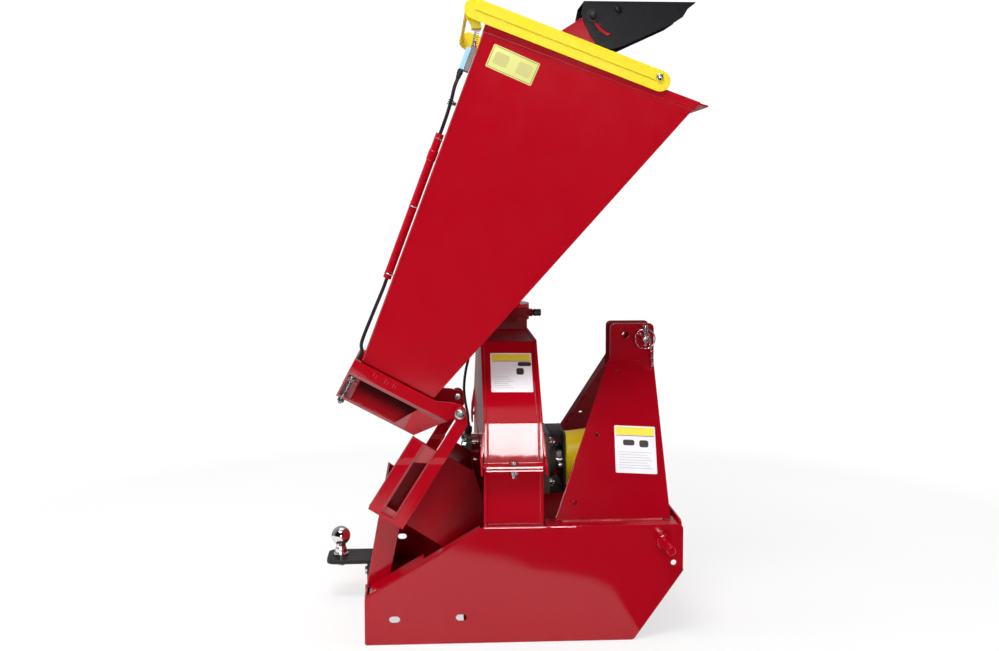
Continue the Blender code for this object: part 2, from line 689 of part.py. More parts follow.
# ---------------------------------------------------------------- fixed infeed frame
def channel(kind, a0, a1, profile, flip=None):
    """Channel running along a frame's length; profile points are (y, p)."""
    A, P = (A_H, P_H) if kind == "h" else (A_F, P_F)
    m = basis(PIN + A * ((a0 + a1) / 2), (0, 1, 0), P)
    return prism(profile, abs(a1 - a0), m)


T = 0.004
WEB_N, WEB_F = FF_Y0 + 0.0365, FF_Y1 - 0.0365     # inner faces of the two webs
ymid = (FF_Y0 + FF_Y1) / 2
f_side = [(0.1060, -0.0660), (0.3065, -0.0660), (0.3065, 0.0300), (0.0140, 0.0300), (-0.0060, 0.0150), (-0.0125, 0.0100), (-0.0160, 0.0020),
          (-0.0150, -0.0060), (-0.0100, -0.0125), (-0.0020, -0.0160), (0.0060, -0.0150), (0.0120, -0.0105), (0.0200, 0.0), (0.2960, 0.0),
          (0.2960, -0.0360), (0.1060, -0.0360)]


# the far side has no outer bar
P_FAR = -0.0290
f_side_far = [(0.2960, P_FAR), (0.3065, P_FAR)] + f_side[2:14]


def fixed_side(y_out, s):
    """One side of the fixed frame; s is +1 on the near side, -1 on the far side."""
    lo = lambda q: min(y_out + s * q[0], y_out + s * q[1])
    hi = lambda q: max(y_out + s * q[0], y_out + s * q[1])
    q = (0.0, 0.005)
    o = prism_f("f", f_side if s > 0 else f_side_far, lo(q), hi(q), [circle(0, 0, 0.0084, 20)])
    q = (0.004, 0.0350)
    o = union(o, prism_f("f", [(0.1075, 0.0250), (0.3055, 0.0250), (0.3055, 0.0290), (0.1075, 0.0290)], lo(q), hi(q)))
    if s > 0:
        o = union(o, prism_f("f", [(0.1075, -0.0650), (0.3055, -0.0650), (0.3055, -0.0610), (0.1075, -0.0610)], lo(q), hi(q)))
    a0, p0 = (0.1085, -0.0640) if s > 0 else (0.1650, P_FAR + 0.0020)
    q = (0.0325, 0.0365)
    o = union(o, prism_f("f", [(a0, p0), (0.3050, p0), (0.3050, 0.0280), (a0, 0.0280)], lo(q), hi(q)))
    return o


f_near, f_far = fixed_side(FF_Y0, 1), fixed_side(FF_Y1, -1)
end = prism([(-0.0655, FF_Y0 + 0.0030), (0.0295, FF_Y0 + 0.0030), (0.0295, FF_Y1 - 0.0030), (P_FAR + 0.0007, FF_Y1 - 0.0030),
             (P_FAR + 0.0007, FF_Y0 + 0.0345), (-0.0655, FF_Y0 + 0.0345)], 0.0048, basis(PIN + A_F * 0.3036, P_F, Vector((0, 1, 0))))
frame = union(f_near, end, f_far)
# notch in the end plate for the clamp bolt
frame = cut(frame, prism_f("f", [(0.28, -0.05), (0.32, -0.05), (0.32, 0.02), (0.28, 0.02)], ymid - 0.055, ymid + 0.055))
node(frame, "infeed_frame", "red")

# ---------------------------------------------------------------- hinge pins
pin = turned([(0.0, 0.0085), (0.0105, 0.0085), (0.0125, 0.0065), (0.0125, 0.0003), (0.0080, 0.0003), (0.0080, -0.052), (0.0, -0.052)],
             PIN + Vector((0, FF_Y0, 0)), (0, -1, 0), 24)
node(pin, "hinge_pin_near", "zinc")
pin = turned([(0.0, 0.0085), (0.0105, 0.0085), (0.0125, 0.0065), (0.0125, 0.0003), (0.0080, 0.0003), (0.0080, -0.052), (0.0, -0.052)],
             PIN + Vector((0, FF_Y1, 0)), (0, 1, 0), 24)
node(pin, "hinge_pin_far", "zinc")

# ---------------------------------------------------------------- bearings
def bearing(u_face, sgn, flange_u, boss_u, nose_u, shank_u):
    """Square four-bolt flange bearing; sgn is the way its nose points."""
    sq = rounded([(-0.0725, ROT_Z - 0.0725), (0.0725, ROT_Z - 0.0725), (0.0725, ROT_Z + 0.0725), (-0.0725, ROT_Z + 0.0725)], 0.016, 4)
    bore = circle(0, ROT_Z, SHAFT_R + 0.0004, 32)
    f = prism_x(sq, u_face, u_face + sgn * flange_u, [bore])
    c = W(u_face, 0, ROT_Z)
    h0 = flange_u - 0.002
    b = turned([(0.0254, h0), (0.0254, nose_u), (0.0335, nose_u), (0.0335, boss_u), (0.047, boss_u - 0.001), (0.053, h0)],
               c, (sgn, 0, 0), 32)
    o = union(f, b)
    for sy in (-1, 1):
        for sz in (-1, 1):
            q = W(u_face + sgn * flange_u, sy * 0.053, ROT_Z + sz * 0.053)
            d = Vector((sgn, 0, 0))
            o = union(o, cone(q - d * 0.001, q + d * 0.009, 0.0115, n=6))
            if shank_u:
                o = union(o, cone(q - d * (flange_u - 0.002), q - d * (flange_u + shank_u), 0.0060, n=12))
    return o


node(bearing(HOUSE_U1 + 0.0004, 1, 0.040, 0.060, 0.082, 0), "bearing_front", "bearing")
node(bearing(0.0695, -1, 0.014, 0.026, 0.038, 0.0200), "bearing_rear", "bearing")
spacer = prism_x(circle(0, ROT_Z, 0.064, 36), 0.0699, HOUSE_U0 - 0.0004, [circle(0, ROT_Z, 0.044, 36)])
node(spacer, "bearing_spacer", "red")

# bell guard round the drive stub, bolted to the front bearing's nose
g0 = HOUSE_U1 + 0.0828
guard = turned([(0.0300, 0.0), (0.0300, 0.003), (0.0650, 0.003), (0.0676, 0.0055), (0.0700, 0.030), (0.0742, 0.062), (0.0775, 0.0705),
                (0.0803, 0.0695), (0.0773, 0.0610), (0.0732, 0.0295), (0.0710, 0.0045), (0.0680, 0.0)],
               W(g0, 0, ROT_Z), (1, 0, 0), 36)
node(guard, "pto_guard", "guard")

# ---------------------------------------------------------------- tow bracket and ball
tb = prism_z(rounded([(-0.3125, -0.052), (-0.1957, -0.052), (-0.1957, 0.052), (-0.3125, 0.052)], [0.022, 0, 0, 0.022], 6), 0.1046, 0.1146,
             [circle(-0.2775, 0.0, 0.0105, 20)])
leg = block((-0.2057, -0.0512, 0.004), (-0.1957, 0.0512, 0.1105))
tb = union(tb, leg)
for z in (0.072, 0.022):
    tb = cut(tb, cone(W(-0.22, 0, z), W(-0.18, 0, z), 0.0066, n=16))
node(tb, "tow_bracket", "bracket")
R = 0.025
prof = [(0.0, R)]
for k in range(1, 10):
    a = math.pi / 2 - k * (math.pi / 2 + math.radians(58)) / 9
    prof.append((R * math.cos(a), R * math.sin(a)))
prof += [(0.0128, -0.0300), (0.0150, -0.0325), (0.0150, -0.0430), (0.0200, -0.0455), (0.0200, -0.0521), (0.0100, -0.0521), (0.0100, -0.0800), (0.0, -0.0800)]
ball = turned(prof, W(-0.2775, 0, 0.1670), (0, 0, 1), 32)
node(ball, "tow_ball", "chrome")
nut = prism_z(circle(-0.2775, 0, 0.0165, 6), 0.0920, 0.1043, [circle(-0.2775, 0, 0.0104, 20)])
node(nut, "tow_ball_nut", "zinc")
for z, nm in ((0.072, "upper"), (0.022, "lower")):
    node(bolt(W(-0.2060, 0, z), W(-0.1700, 0, z), 0.0060, 0.0105, 0.0080, 0.0095, 0.0164), "tow_bolt_" + nm, "zinc")

# ================================================================ ROTOR
disc = prism_x(circle(0, ROT_Z, DISC_R, 64), 0.1120, 0.1320, [circle(0, ROT_Z, SHAFT_R + 0.0003, 24)])
hub = prism_x(circle(0, ROT_Z, 0.052, 32), 0.1310, 0.1850, [circle(0, ROT_Z, SHAFT_R + 0.0003, 24)])
disc = union(disc, hub)
for k in range(4):
    a = math.radians(45 + 90 * k)
    m = Matrix.Translation(W(0, 0, ROT_Z)) @ Matrix.Rotation(a, 4, "X")
    disc = union(disc, block((0.1310, 0.0480, -0.005), (0.2080, 0.3100, 0.005), m))
    m2 = Matrix.Translation(W(0, 0, ROT_Z)) @ Matrix.Rotation(a + math.radians(45), 4, "X")
    disc = cut(disc, block((0.1000, 0.115, -0.030), (0.1400, 0.292, -0.012), m2))
node(disc, "rotor_disc", "disc", rotor_axis)
for k in range(4):
    a = math.radians(90 * k + 90)
    m = Matrix.Translation(W(0, 0, ROT_Z)) @ Matrix.Rotation(a, 4, "X")
    kn = block((0.1043, 0.110, -0.0110), (0.1117, 0.297, 0.030), m)
    kn = cut(kn, block((0.0990, 0.10, -0.0150), (0.1080, 0.31, -0.0045),
                       m @ Matrix.Translation((0, 0, 0))))
    node(kn, "knife_" + "abcd"[k], "steel", rotor_axis)
shaft = turned([(0.0, 0.2950), (0.0150, 0.2950), (0.0172, 0.2920), (0.0172, 0.1700), (0.0248, 0.1640), (0.0248, -0.1360), (0.0150, -0.1360),
                (0.0150, -0.1520), (0.0, -0.1520)], W(0.16, 0, ROT_Z), (1, 0, 0), 32)
node(shaft, "rotor_shaft", "steel", rotor_axis)

# ================================================================ CHUTE
def sect(c, ang, hu):
    """Rectangle across the duct; ang is the heading above horizontal."""
    up = Vector((-math.sin(ang), 0, math.cos(ang)))
    c = W(c[0], CHUTE_Y, c[1])
    return c, up, hu


def duct_ring(c, ang, hu, hy):
    c, up, _ = sect(c, ang, hu)
    y = Vector((0, hy, 0))
    return [c - up * hu - y, c + up * hu - y, c + up * hu + y, c - up * hu + y]


stations = [((0.160, 0.7650), 90, 0.0520, 0.0560), ((0.162, 0.830), 88, 0.0600, CHUTE_HALF_Y), ((0.180, 1.050), 82, 0.0560, CHUTE_HALF_Y),
            ((0.225, 1.260), 74, 0.0500, CHUTE_HALF_Y), ((0.285, 1.410), 60, 0.0440, CHUTE_HALF_Y), ((0.355, 1.498), 42, 0.0405, CHUTE_HALF_Y),
            ((0.415, 1.537), 29, 0.0390, CHUTE_HALF_Y), ((0.472, 1.5625), 20, 0.0375, CHUTE_HALF_Y)]
dt = 0.003
outer = [duct_ring(c, math.radians(a), h, y) for c, a, h, y in stations]
inner = [duct_ring(c, math.radians(a), h - dt, y - dt) for c, a, h, y in stations]
duct = ring_loft(outer + inner[::-1])
collar = turned([(0.0480, 0.0005), (0.0565, 0.0005), (0.0565, -0.0250), (0.0605, -0.0250), (0.0605, 0.0005), (0.0820, 0.0005), (0.0820, 0.0105), (0.0480, 0.0105)],
                W(CHUTE_U, CHUTE_Y, NECK_TOP), (0, 0, 1), 40)
chute = union(collar, duct)
for sy in (-1, 1):
    y0 = CHUTE_Y + sy * (CHUTE_HALF_Y - dt)
    y1 = CHUTE_Y + sy * CHUTE_HALF_Y
    tab = prism_y(circle(DEF_U, DEF_Z, 0.0175, 24), y0, y1)
    web = prism_y([(DEF_U - 0.030, DEF_Z - 0.050), (DEF_U + 0.010, DEF_Z - 0.030), (DEF_U + 0.0165, DEF_Z - 0.003), (DEF_U - 0.004, DEF_Z + 0.0165), (DEF_U - 0.030, DEF_Z + 0.010)], y0, y1)
    chute = union(chute, web, tab)
    s = -0.01 if sy < 0 else 0.01
    chute = cut(chute, cone(W(DEF_U, y0 - s, DEF_Z), W(DEF_U, y1 + s, DEF_Z), 0.0045, n=16),
                cone(W(LOCK_U, y0 - s, LOCK_Z), W(LOCK_U, y1 + s, LOCK_Z), 0.0045, n=16))
# index holes for the lock plunger
for k in range(5):
    a = math.radians(45 * k)
    d = Vector((math.cos(a), math.sin(a), 0))
    c = W(CHUTE_U, CHUTE_Y, 0.742)
    chute = cut(chute, cone(c + d * 0.050, c + d * 0.070, 0.0052, n=14))
node(chute, "chute_duct", "red", chute_axis)

# spring plunger that locks the swivel
kb = turned([(0.0, 0.024), (0.0085, 0.024), (0.0105, 0.021), (0.0105, 0.004), (0.0075, 0.0003), (0.0045, 0.0003), (0.0045, -0.0285), (0.0030, -0.0300), (0.0, -0.0300)],
            W(0.2523, CHUTE_Y, 0.742), (1, 0, 0), 20)
node(kb, "lock_knob", "black", origin=W(0.2523, CHUTE_Y, 0.742))

# ---------------------------------------------------------------- deflector hood
hood = [(0.3855, 1.6050), (0.6800, 1.6050), (0.6960, 1.6040), (0.6880, 1.5990), (0.6750, 1.5870), (0.6620, 1.5660), (0.6350, 1.5480),
        (0.5020, 1.4870), (0.4720, 1.4770), (0.4520, 1.4770), (0.4200, 1.4900), (0.4010, 1.5220), (0.3860, 1.5520), (0.3790, 1.5720)]
slot = []
r_s, w_s = math.hypot(LOCK_U - DEF_U, LOCK_Z - DEF_Z), 0.0050
a_s = math.atan2(LOCK_Z - DEF_Z, LOCK_U - DEF_U) % (2 * math.pi)
a_e = a_s + math.radians(58.6)
N = 10
for k in range(N + 1):
    a = a_s + (a_e - a_s) * k / N
    slot.append((DEF_U + (r_s + w_s) * math.cos(a), DEF_Z + (r_s + w_s) * math.sin(a)))
for k in range(1, 6):
    a = a_e + math.pi * k / 6
    slot.append((DEF_U + r_s * math.cos(a_e) + w_s * math.cos(a), DEF_Z + r_s * math.sin(a_e) + w_s * math.sin(a)))
for k in range(N + 1):
    a = a_e + (a_s - a_e) * k / N
    slot.append((DEF_U + (r_s - w_s) * math.cos(a), DEF_Z + (r_s - w_s) * math.sin(a)))
for k in range(1, 6):
    a = a_s + math.pi + math.pi * k / 6
    slot.append((DEF_U + r_s * math.cos(a_s) + w_s * math.cos(a), DEF_Z + r_s * math.sin(a_s) + w_s * math.sin(a)))
DY = CHUTE_HALF_Y + 0.0008
DT = 0.0025
hb = [circle(DEF_U, DEF_Z, 0.0048, 16), slot]
s1 = prism_y(hood, CHUTE_Y - DY - DT, CHUTE_Y - DY, hb)
s2 = prism_y(hood, CHUTE_Y + DY, CHUTE_Y + DY + DT, hb)
top = block((0.3870, CHUTE_Y - DY - 0.001, 1.6050), (0.6960, CHUTE_Y + DY + 0.001, 1.6070))
top2 = block((0.3865, CHUTE_Y - DY - DT, 1.6040), (0.6965, CHUTE_Y + DY + DT, 1.6070))
drop(top)
hood_o = union(s1, top2, s2)
node(hood_o, "deflector_hood", "black", deflector_axis)


def dome_bolt(c, sy, head_r, head_h, r, length, washer_r=None, washer_t=0.002):
    """Dome-headed bolt lying on a side face; c is the face point."""
    base = [(0.0, head_h), (head_r * 0.5, head_h * 0.92), (head_r * 0.85, head_h * 0.6), (head_r, head_h * 0.12), (head_r, 0.0)]
    w = washer_t if washer_r else 0.0
    prof = [(x, h + w) for x, h in base]
    if washer_r:
        prof += [(washer_r, w), (washer_r, 0.0003)]
    prof += [(r, 0.0003), (r, -length), (0.0, -length)]
    if not washer_r:
        prof[-4] = (head_r, 0.0003)
        prof = prof[:-4] + [(head_r, 0.0003), (r, 0.0003), (r, -length), (0.0, -length)]
    return turned(prof, c, (0, sy, 0), 20)


for sy, nm in ((-1, "near"), (1, "far")):
    yb = CHUTE_Y + sy * (DY + DT)
    node(dome_bolt(W(DEF_U, yb, DEF_Z), sy, 0.0095, 0.005, 0.0040, 0.0105, 0.0120, 0.0012), "deflector_pivot_" + nm, "zinc", chute_axis)
    if sy < 0:
        node(dome_bolt(W(LOCK_U, yb, LOCK_Z), sy, 0.0120, 0.007, 0.0040, 0.0105, 0.0190, 0.0020), "deflector_lock_bolt", "zinc", chute_axis)

# ================================================================ HOPPER
HB_L, HB_R = (-0.201, 0.6745), (-0.029, 0.5825)
HM_L, HM_R = (0.095, 1.464), (0.584, 1.2845)
hn = Vector((math.sin(FOLD_SLOPE), math.cos(FOLD_SLOPE)))


def hop_pt(f, left, near, out=0.0):
    """Point on the hopper wall at fraction f from frame to mouth."""
    b = Vector(HB_L if left else HB_R)
    t = Vector(HM_L if left else HM_R)
    q = b.lerp(t, f)
    dist = (q - Vector(HB_L)).dot(hn)
    dirl = (Vector(HB_R) - Vector(HB_L)).normalized()
    q = q + dirl * (-out if left else out)
    if near:
        y = -0.2875 - 0.1346 * dist - out
    else:
        y = -0.0960 + 0.2190 * dist + out
    return W(q.x, y, q.y)


def hop_ring(f, out):
    return [hop_pt(f, True, True, out), hop_pt(f, False, True, out), hop_pt(f, False, False, out), hop_pt(f, True, False, out)]


f_h = 0.972
shell = ring_loft([hop_ring(0.0, 0.0), hop_ring(f_h, 0.0), hop_ring(f_h + 0.002, 0.0022), hop_ring(1.0, 0.0022),
                   hop_ring(1.0, -SHEET), hop_ring(0.0, -SHEET)])
# outward lip along the low side of the mouth
a, b = hop_pt(1.0, False, True, 0.0), hop_pt(1.0, False, False, 0.0)
ml = Vector((HM_R[0] - HM_L[0], HM_R[1] - HM_L[1])).normalized()
lip = prism_y([(HM_R[0] - 0.004, HM_R[1] - 0.0005), (HM_R[0] - 0.005, HM_R[1] - 0.0050), (HM_R[0] + ml.x * 0.0215, HM_R[1] + ml.y * 0.0215 - 0.0042),
               (HM_R[0] + ml.x * 0.0225, HM_R[1] + ml.y * 0.0225)], a.y + 0.002, b.y - 0.002)
shell = union(shell, lip)
node(shell, "hopper_shell", "red", hopper_axis)

# hopper frame, a channel ring that nests inside the fixed frame
HA0, HA1, HP1 = 0.0705, 0.2800, 0.1040
WEB = 0.025
hmid = (HF_Y0 + HF_Y1) / 2
h_win = [(0.0900, 0.0440), (0.2750, 0.0440), (0.2750, HP1 - 0.0055), (0.1250, HP1 - 0.0055)]
h_side = [(-0.0130, -0.0040), (-0.0100, -0.0105), (-0.0040, -0.0140), (0.0060, -0.0140), (0.0250, -0.0100), (0.0600, 0.0045), (HA1, 0.0045), (HA1, HP1),
          (0.0700, HP1), (0.0140, 0.0360), (0.0000, 0.0150), (-0.0080, 0.0125), (-0.0130, 0.0060)]


def hopper_side(y_out, s):
    """One side of the ring; s is +1 on the near side, -1 on the far side."""
    lo = lambda q: min(y_out + s * q[0], y_out + s * q[1])
    hi = lambda q: max(y_out + s * q[0], y_out + s * q[1])
    q = (0.0, 0.005)
    o = prism_f("h", h_side, lo(q), hi(q), [h_win, circle(0, 0, 0.0084, 20)])
    q = (0.004, WEB + 0.0030)
    o = union(o, prism_f("h", [(0.0780, 0.0060), (0.2785, 0.0060), (0.2785, 0.0100), (0.0780, 0.0100)], lo(q), hi(q)),
              prism_f("h", [(0.0735, HP1 - 0.0050), (0.2785, HP1 - 0.0050), (0.2785, HP1 - 0.0010), (0.0735, HP1 - 0.0010)], lo(q), hi(q)))
    q = (WEB, WEB + 0.0040)
    o = union(o, prism_f("h", [(0.0765, 0.0070), (0.2780, 0.0070), (0.2780, HP1 - 0.0015), (0.0765, HP1 - 0.0015)], lo(q), hi(q)))
    return o


h_near, h_far = hopper_side(HF_Y0, 1), hopper_side(HF_Y1, -1)
h_end = prism_f("h", [(HA1 - 0.0045, 0.0065), (HA1 - 0.0005, 0.0065), (HA1 - 0.0005, HP1 - 0.0005), (HA1 - 0.0045, HP1 - 0.0005)],
                HF_Y0 + 0.0030, HF_Y1 - 0.0030)
h_gus = prism_f("h", [(0.0180, 0.0380), (0.0705, HP1 - 0.0005), (0.0772, HP1 - 0.0005), (0.0772, HP1 - 0.0040), (0.0222, 0.0380)],
                HF_Y0 + 0.0030, HF_Y1 - 0.0030)
CB_A, CB_Y = 0.2645, HF_Y0 + 0.0115
pad = prism_f("h", [(0.2440, 0.0080), (0.2770, 0.0080), (0.2770, HP1 - 0.0030), (0.2440, HP1 - 0.0030)], HF_Y0 + 0.0215, HF_Y0 + WEB + 0.002)
lug = prism_f("h", [(0.2480, 0.0545), (0.2770, 0.0545), (0.2770, 0.0595), (0.2480, 0.0595)], HF_Y0 + 0.0015, HF_Y0 + WEB)
hframe = union(h_near, h_end, h_gus, h_far, pad, lug)
hframe = cut(hframe, cone(fr("h", CB_A, CB_Y, 0.0500), fr("h", CB_A, CB_Y, 0.1200), 0.0054, n=16))
node(hframe, "hopper_frame", "red", hopper_axis)
cb = union(cone(fr("h", CB_A, CB_Y, 0.0400), fr("h", CB_A, CB_Y, 0.1180), 0.0048, n=14),
           cone(fr("h", CB_A, CB_Y, 0.0456), fr("h", CB_A, CB_Y, 0.0541), 0.0092, n=6),
           cone(fr("h", CB_A, CB_Y, HP1 + 0.0004), fr("h", CB_A, CB_Y, HP1 + 0.0089), 0.0092, n=6))
node(cb, "clamp_bolt", "zinc", hopper_axis)

# rubber curtain hanging inside the hopper's foot
fl0 = prism_f("h", [(0.0800, -0.0200), (0.0840, -0.0200), (0.0840, 0.0900), (0.0800, 0.0900)], HF_Y0 + WEB + T + 0.002, HF_Y1 - WEB - T - 0.002)
node(fl0, "rubber_flap", "rubber", hopper_axis)

# ---------------------------------------------------------------- conduit, cable and switch
wall_dir = Vector((HM_L[0] - HB_L[0], HM_L[1] - HB_L[1])).normalized()
wall_out = Vector((-wall_dir.y, wall_dir.x))


def beside(z, off, y):
    """Point off the hopper's left wall, at height z along that wall."""
    u = HB_L[0] + (z - HB_L[1]) * (HM_L[0] - HB_L[0]) / (HM_L[1] - HB_L[1])
    return W(u + wall_out.x * off, y, z + wall_out.y * off)


c_top, c_bot = beside(1.2100, 0.0125, -0.335), beside(0.8700, 0.0125, -0.290)
cd = (c_top - c_bot).normalized()
conduit = cone(c_bot, c_top, 0.0100, n=20)
ear1 = cone(c_bot + cd * 0.30, c_bot + cd * 0.325, 0.0112, n=20)
conduit = union(conduit, ear1)
conduit = cut(conduit, cone(c_bot - cd * 0.01, c_top + cd * 0.01, 0.0072, n=16))
node(conduit, "cable_conduit", "red", hopper_axis)

# everything of the switch lies along the wall: s runs up the wall, off stands out from it
def wall_s(z):
    return (z - HB_L[1]) / wall_dir.y


def along(s_, off, y):
    return W(HB_L[0] + wall_dir.x * s_ + wall_out.x * off, y, HB_L[1] + wall_dir.y * s_ + wall_out.y * off)


def wall_block(s0, s1, o0, o1, y0, y1):
    m = basis(W(HB_L[0], 0, HB_L[1]), (wall_dir.x, 0, wall_dir.y), (wall_out.x, 0, wall_out.y))
    ez = Vector((wall_dir.x, 0, wall_dir.y)).cross(Vector((wall_out.x, 0, wall_out.y)))
    k = ez.y
    return block((s0, o0, min(y0 * k, y1 * k)), (s1, o1, max(y0 * k, y1 * k)), m)


SW_Y0, SW_Y1 = -0.384, -0.350
g_y = (SW_Y0 + SW_Y1) / 2
s_lo, s_hi = wall_s(1.3530), wall_s(1.4080)
node(wall_block(s_lo, s_hi, 0.0010, 0.0125, SW_Y0, SW_Y1), "switch_body", "grey", hopper_axis)
node(wall_block(s_lo + 0.001, s_hi - 0.006, 0.0128, 0.0240, SW_Y0 + 0.001, SW_Y1 - 0.001), "switch_cover", "blue", hopper_axis)
wd = Vector((wall_dir.x, 0, wall_dir.y))
g_c = along(s_lo - 0.0003, 0.0185, g_y)
gl = turned([(0.0, 0.0), (0.0068, 0.0), (0.0068, 0.010), (0.0056, 0.012), (0.0050, 0.022), (0.0, 0.022)], g_c, -wd, 16)
node(gl, "switch_gland", "black", hopper_axis)

CR = 0.0042
s_c = (c_top - along(0, 0, 0)).dot(wd)
gl_end = g_c - wd * 0.0223
route_a = [gl_end, gl_end - wd * 0.020, along(wall_s(1.2850), 0.0150, -0.362), along(wall_s(1.2500), 0.0128, -0.346), c_top + cd * 0.012, c_top - cd * 0.010,
           c_bot.lerp(c_top, 0.5), c_bot + cd * 0.010, c_bot - cd * 0.030,
           beside(0.7800, 0.0150, -0.284), beside(0.7150, 0.0160, -0.282), fr("h", 0.2735, -0.2820, -0.0170), fr("h", 0.2735, -0.2820, 0.0035)]
cab = tube(catmull(route_a, 0.0125), CR, 2)
node(cab, "cable_upper", "cable", hopper_axis)

# slack lead from the hopper's low wall to the rear bearing's gland
gland = turned([(0.0, 0.030), (0.0052, 0.030), (0.0062, 0.020), (0.0110, 0.018), (0.0110, 0.004), (0.0085, 0.0), (0.0, 0.0)],
               W(0.0620, -0.0200, ROT_Z + 0.0729), (0, 0, 1), 16)
node(gland, "speed_sensor_gland", "black")
gz = ROT_Z + 0.0729 + 0.0304
anchor = W(0.0600, -0.1000, 0.6560)
route_b = [W(0.0620, -0.0200, gz), W(0.0610, -0.0200, gz + 0.020), W(0.0560, -0.0190, gz + 0.045), W(0.0515, -0.0180, gz + 0.080), W(0.0520, -0.0240, gz + 0.110),
           W(0.0560, -0.0440, gz + 0.145), W(0.0620, -0.0640, gz + 0.172)]
slack = tube(catmull(route_b, 0.0115), 0.0036, 2)
node(slack, "cable_slack", "cable")

# ---------------------------------------------------------------- safety bar
bd = Vector((0.9356, -0.3531))
bn = Vector((-0.3531, -0.9356))
b0 = Vector((0.0665, 1.4915))
b1 = Vector((0.4905, 1.3315))
BY0, BY1 = -0.4195, 0.1175
BYI0, BYI1 = BY0 + BAR_T, BY1 - BAR_T


def bar_arm(y0, y1, ridge0, ridge1):
    a = prism_y(stadium(b0, b1, BAR_W / 2, 10), y0, y1)
    rb = [b0 - bn * 0.0225, b1 - bn * 0.0225, b1 + bn * 0.002, b0 + bn * 0.002]
    r = prism_y([(q.x, q.y) for q in rb], ridge0, ridge1)
    return union(a, r)


arm_n = bar_arm(BYI0, BYI0 + BAR_T, BY0, BYI0 + 0.001)
arm_f = bar_arm(BYI1 - BAR_T, BYI1, BYI1 - 0.001, BY1)
e0 = b0 - bd * 0.0190
end_pl = [e0 - bn * 0.0130, e0 + bn * 0.0130, e0 + bn * 0.0130 + bd * 0.004, e0 - bn * 0.0130 + bd * 0.004]
cross = prism_y([(q.x, q.y) for q in end_pl], BYI0 + 0.001, BYI1 - 0.001)
bar = union(arm_n, cross, arm_f)
for y in (BYI0, BYI1):
    bar = cut(bar, cone(W(BAR_U, y - 0.01, BAR_Z), W(BAR_U, y + 0.01, BAR_Z), 0.0052, n=16))
# bracket that presses the switch's spring
brk = [(0.0464, 1.4865), (0.0767, 1.4772), (0.0830, 1.4535), (0.0830, 1.4510), (0.0600, 1.4510), (0.0580, 1.4590), (0.0464, 1.4749)]
bracket = prism_y(brk, -0.3920, -0.3885)
foot2 = block((0.0602, -0.3900, 1.4512), (0.0826, -0.3520, 1.4536))
arm_b = block((0.0490, BYI0 + 0.001, 1.4765), (0.0600, -0.3900, 1.4820))
bracket = union(bracket, foot2, arm_b)
bar = union(bar, bracket)
node(bar, "safety_bar", "yellow", bar_axis)
sp0, sp1 = W(0.0672, g_y, 1.4165), W(0.0738, g_y, 1.4490)
sl_ = (sp1 - sp0).length
spring = turned([(0.0045, 0.0006), (0.0065, 0.0006), (0.0065, sl_ - 0.0006), (0.0045, sl_ - 0.0006)], sp0, sp1 - sp0, 20)
node(spring, "bar_spring", "zinc", hopper_axis)

hop_y_at = hop_pt(0.90, False, True).y
for y, sy, nm in ((BYI0, -1, "near"), (BYI1, 1, "far")):
    inner_len = 0.0150
    node(dome_bolt(W(BAR_U, BY0 if sy < 0 else BY1, BAR_Z), sy, 0.0085, 0.0045, 0.0046, 0.0096, None), "bar_pivot_" + nm, "zinc", hopper_axis)

bpy.context.view_layer.update()
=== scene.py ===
# Looks of a tractor wood chipper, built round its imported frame.
# Metres, +Z up.  +X points to the tractor, -Y is the hopper side.
import bpy
import bmesh
import json
import math
import random
from mathutils import Vector, Matrix, noise


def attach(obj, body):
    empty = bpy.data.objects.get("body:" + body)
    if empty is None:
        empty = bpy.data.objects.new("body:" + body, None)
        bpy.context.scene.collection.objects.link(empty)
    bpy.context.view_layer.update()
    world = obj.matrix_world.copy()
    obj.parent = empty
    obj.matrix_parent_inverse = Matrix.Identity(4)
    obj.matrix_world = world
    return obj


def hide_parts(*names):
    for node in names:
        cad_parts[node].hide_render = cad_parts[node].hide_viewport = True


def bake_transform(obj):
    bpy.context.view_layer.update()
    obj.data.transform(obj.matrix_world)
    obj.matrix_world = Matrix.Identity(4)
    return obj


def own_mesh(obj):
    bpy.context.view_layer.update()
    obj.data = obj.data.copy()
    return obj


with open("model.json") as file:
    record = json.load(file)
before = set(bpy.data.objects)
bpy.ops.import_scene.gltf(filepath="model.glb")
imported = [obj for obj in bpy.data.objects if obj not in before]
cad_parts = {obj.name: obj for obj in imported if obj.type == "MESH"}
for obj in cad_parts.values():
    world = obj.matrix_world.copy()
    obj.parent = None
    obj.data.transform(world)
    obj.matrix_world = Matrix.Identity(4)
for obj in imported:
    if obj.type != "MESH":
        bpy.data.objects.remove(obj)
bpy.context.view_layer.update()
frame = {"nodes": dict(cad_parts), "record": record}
NODES = frame["nodes"]

XC = 0.1920
BODY = {}
for _b, _members in frame["record"]["behaviour"]["bodies"].items():
    for _n in _members:
        BODY[_n] = _b
SLOT = {s["node"]: s["material_slot"] for s in frame["record"]["subparts"]}


def W(u, y, z):
    return Vector((u - XC, y, z))


# ================================================================ camera, light, floor
scene = bpy.context.scene
scene.view_settings.view_transform = "Standard"
scene.view_settings.look = "None"
scene.view_settings.exposure = 0.0
scene.view_settings.gamma = 1.0

cam_data = bpy.data.cameras.new("camera")
cam_data.sensor_width = 36.0
cam_data.lens = 1146.4 / 999.0 * 36.0
cam_data.shift_y = -0.055
cam_data.clip_start = 0.05
cam_data.clip_end = 200.0
camera = bpy.data.objects.new("camera", cam_data)
scene.collection.objects.link(camera)
camera.location = (-0.2203, -3.0324, 1.0555)
camera.rotation_mode = "XYZ"
camera.rotation_euler = (math.radians(90.0 - 3.424), 0.0, math.radians(-3.297))
scene.camera = camera


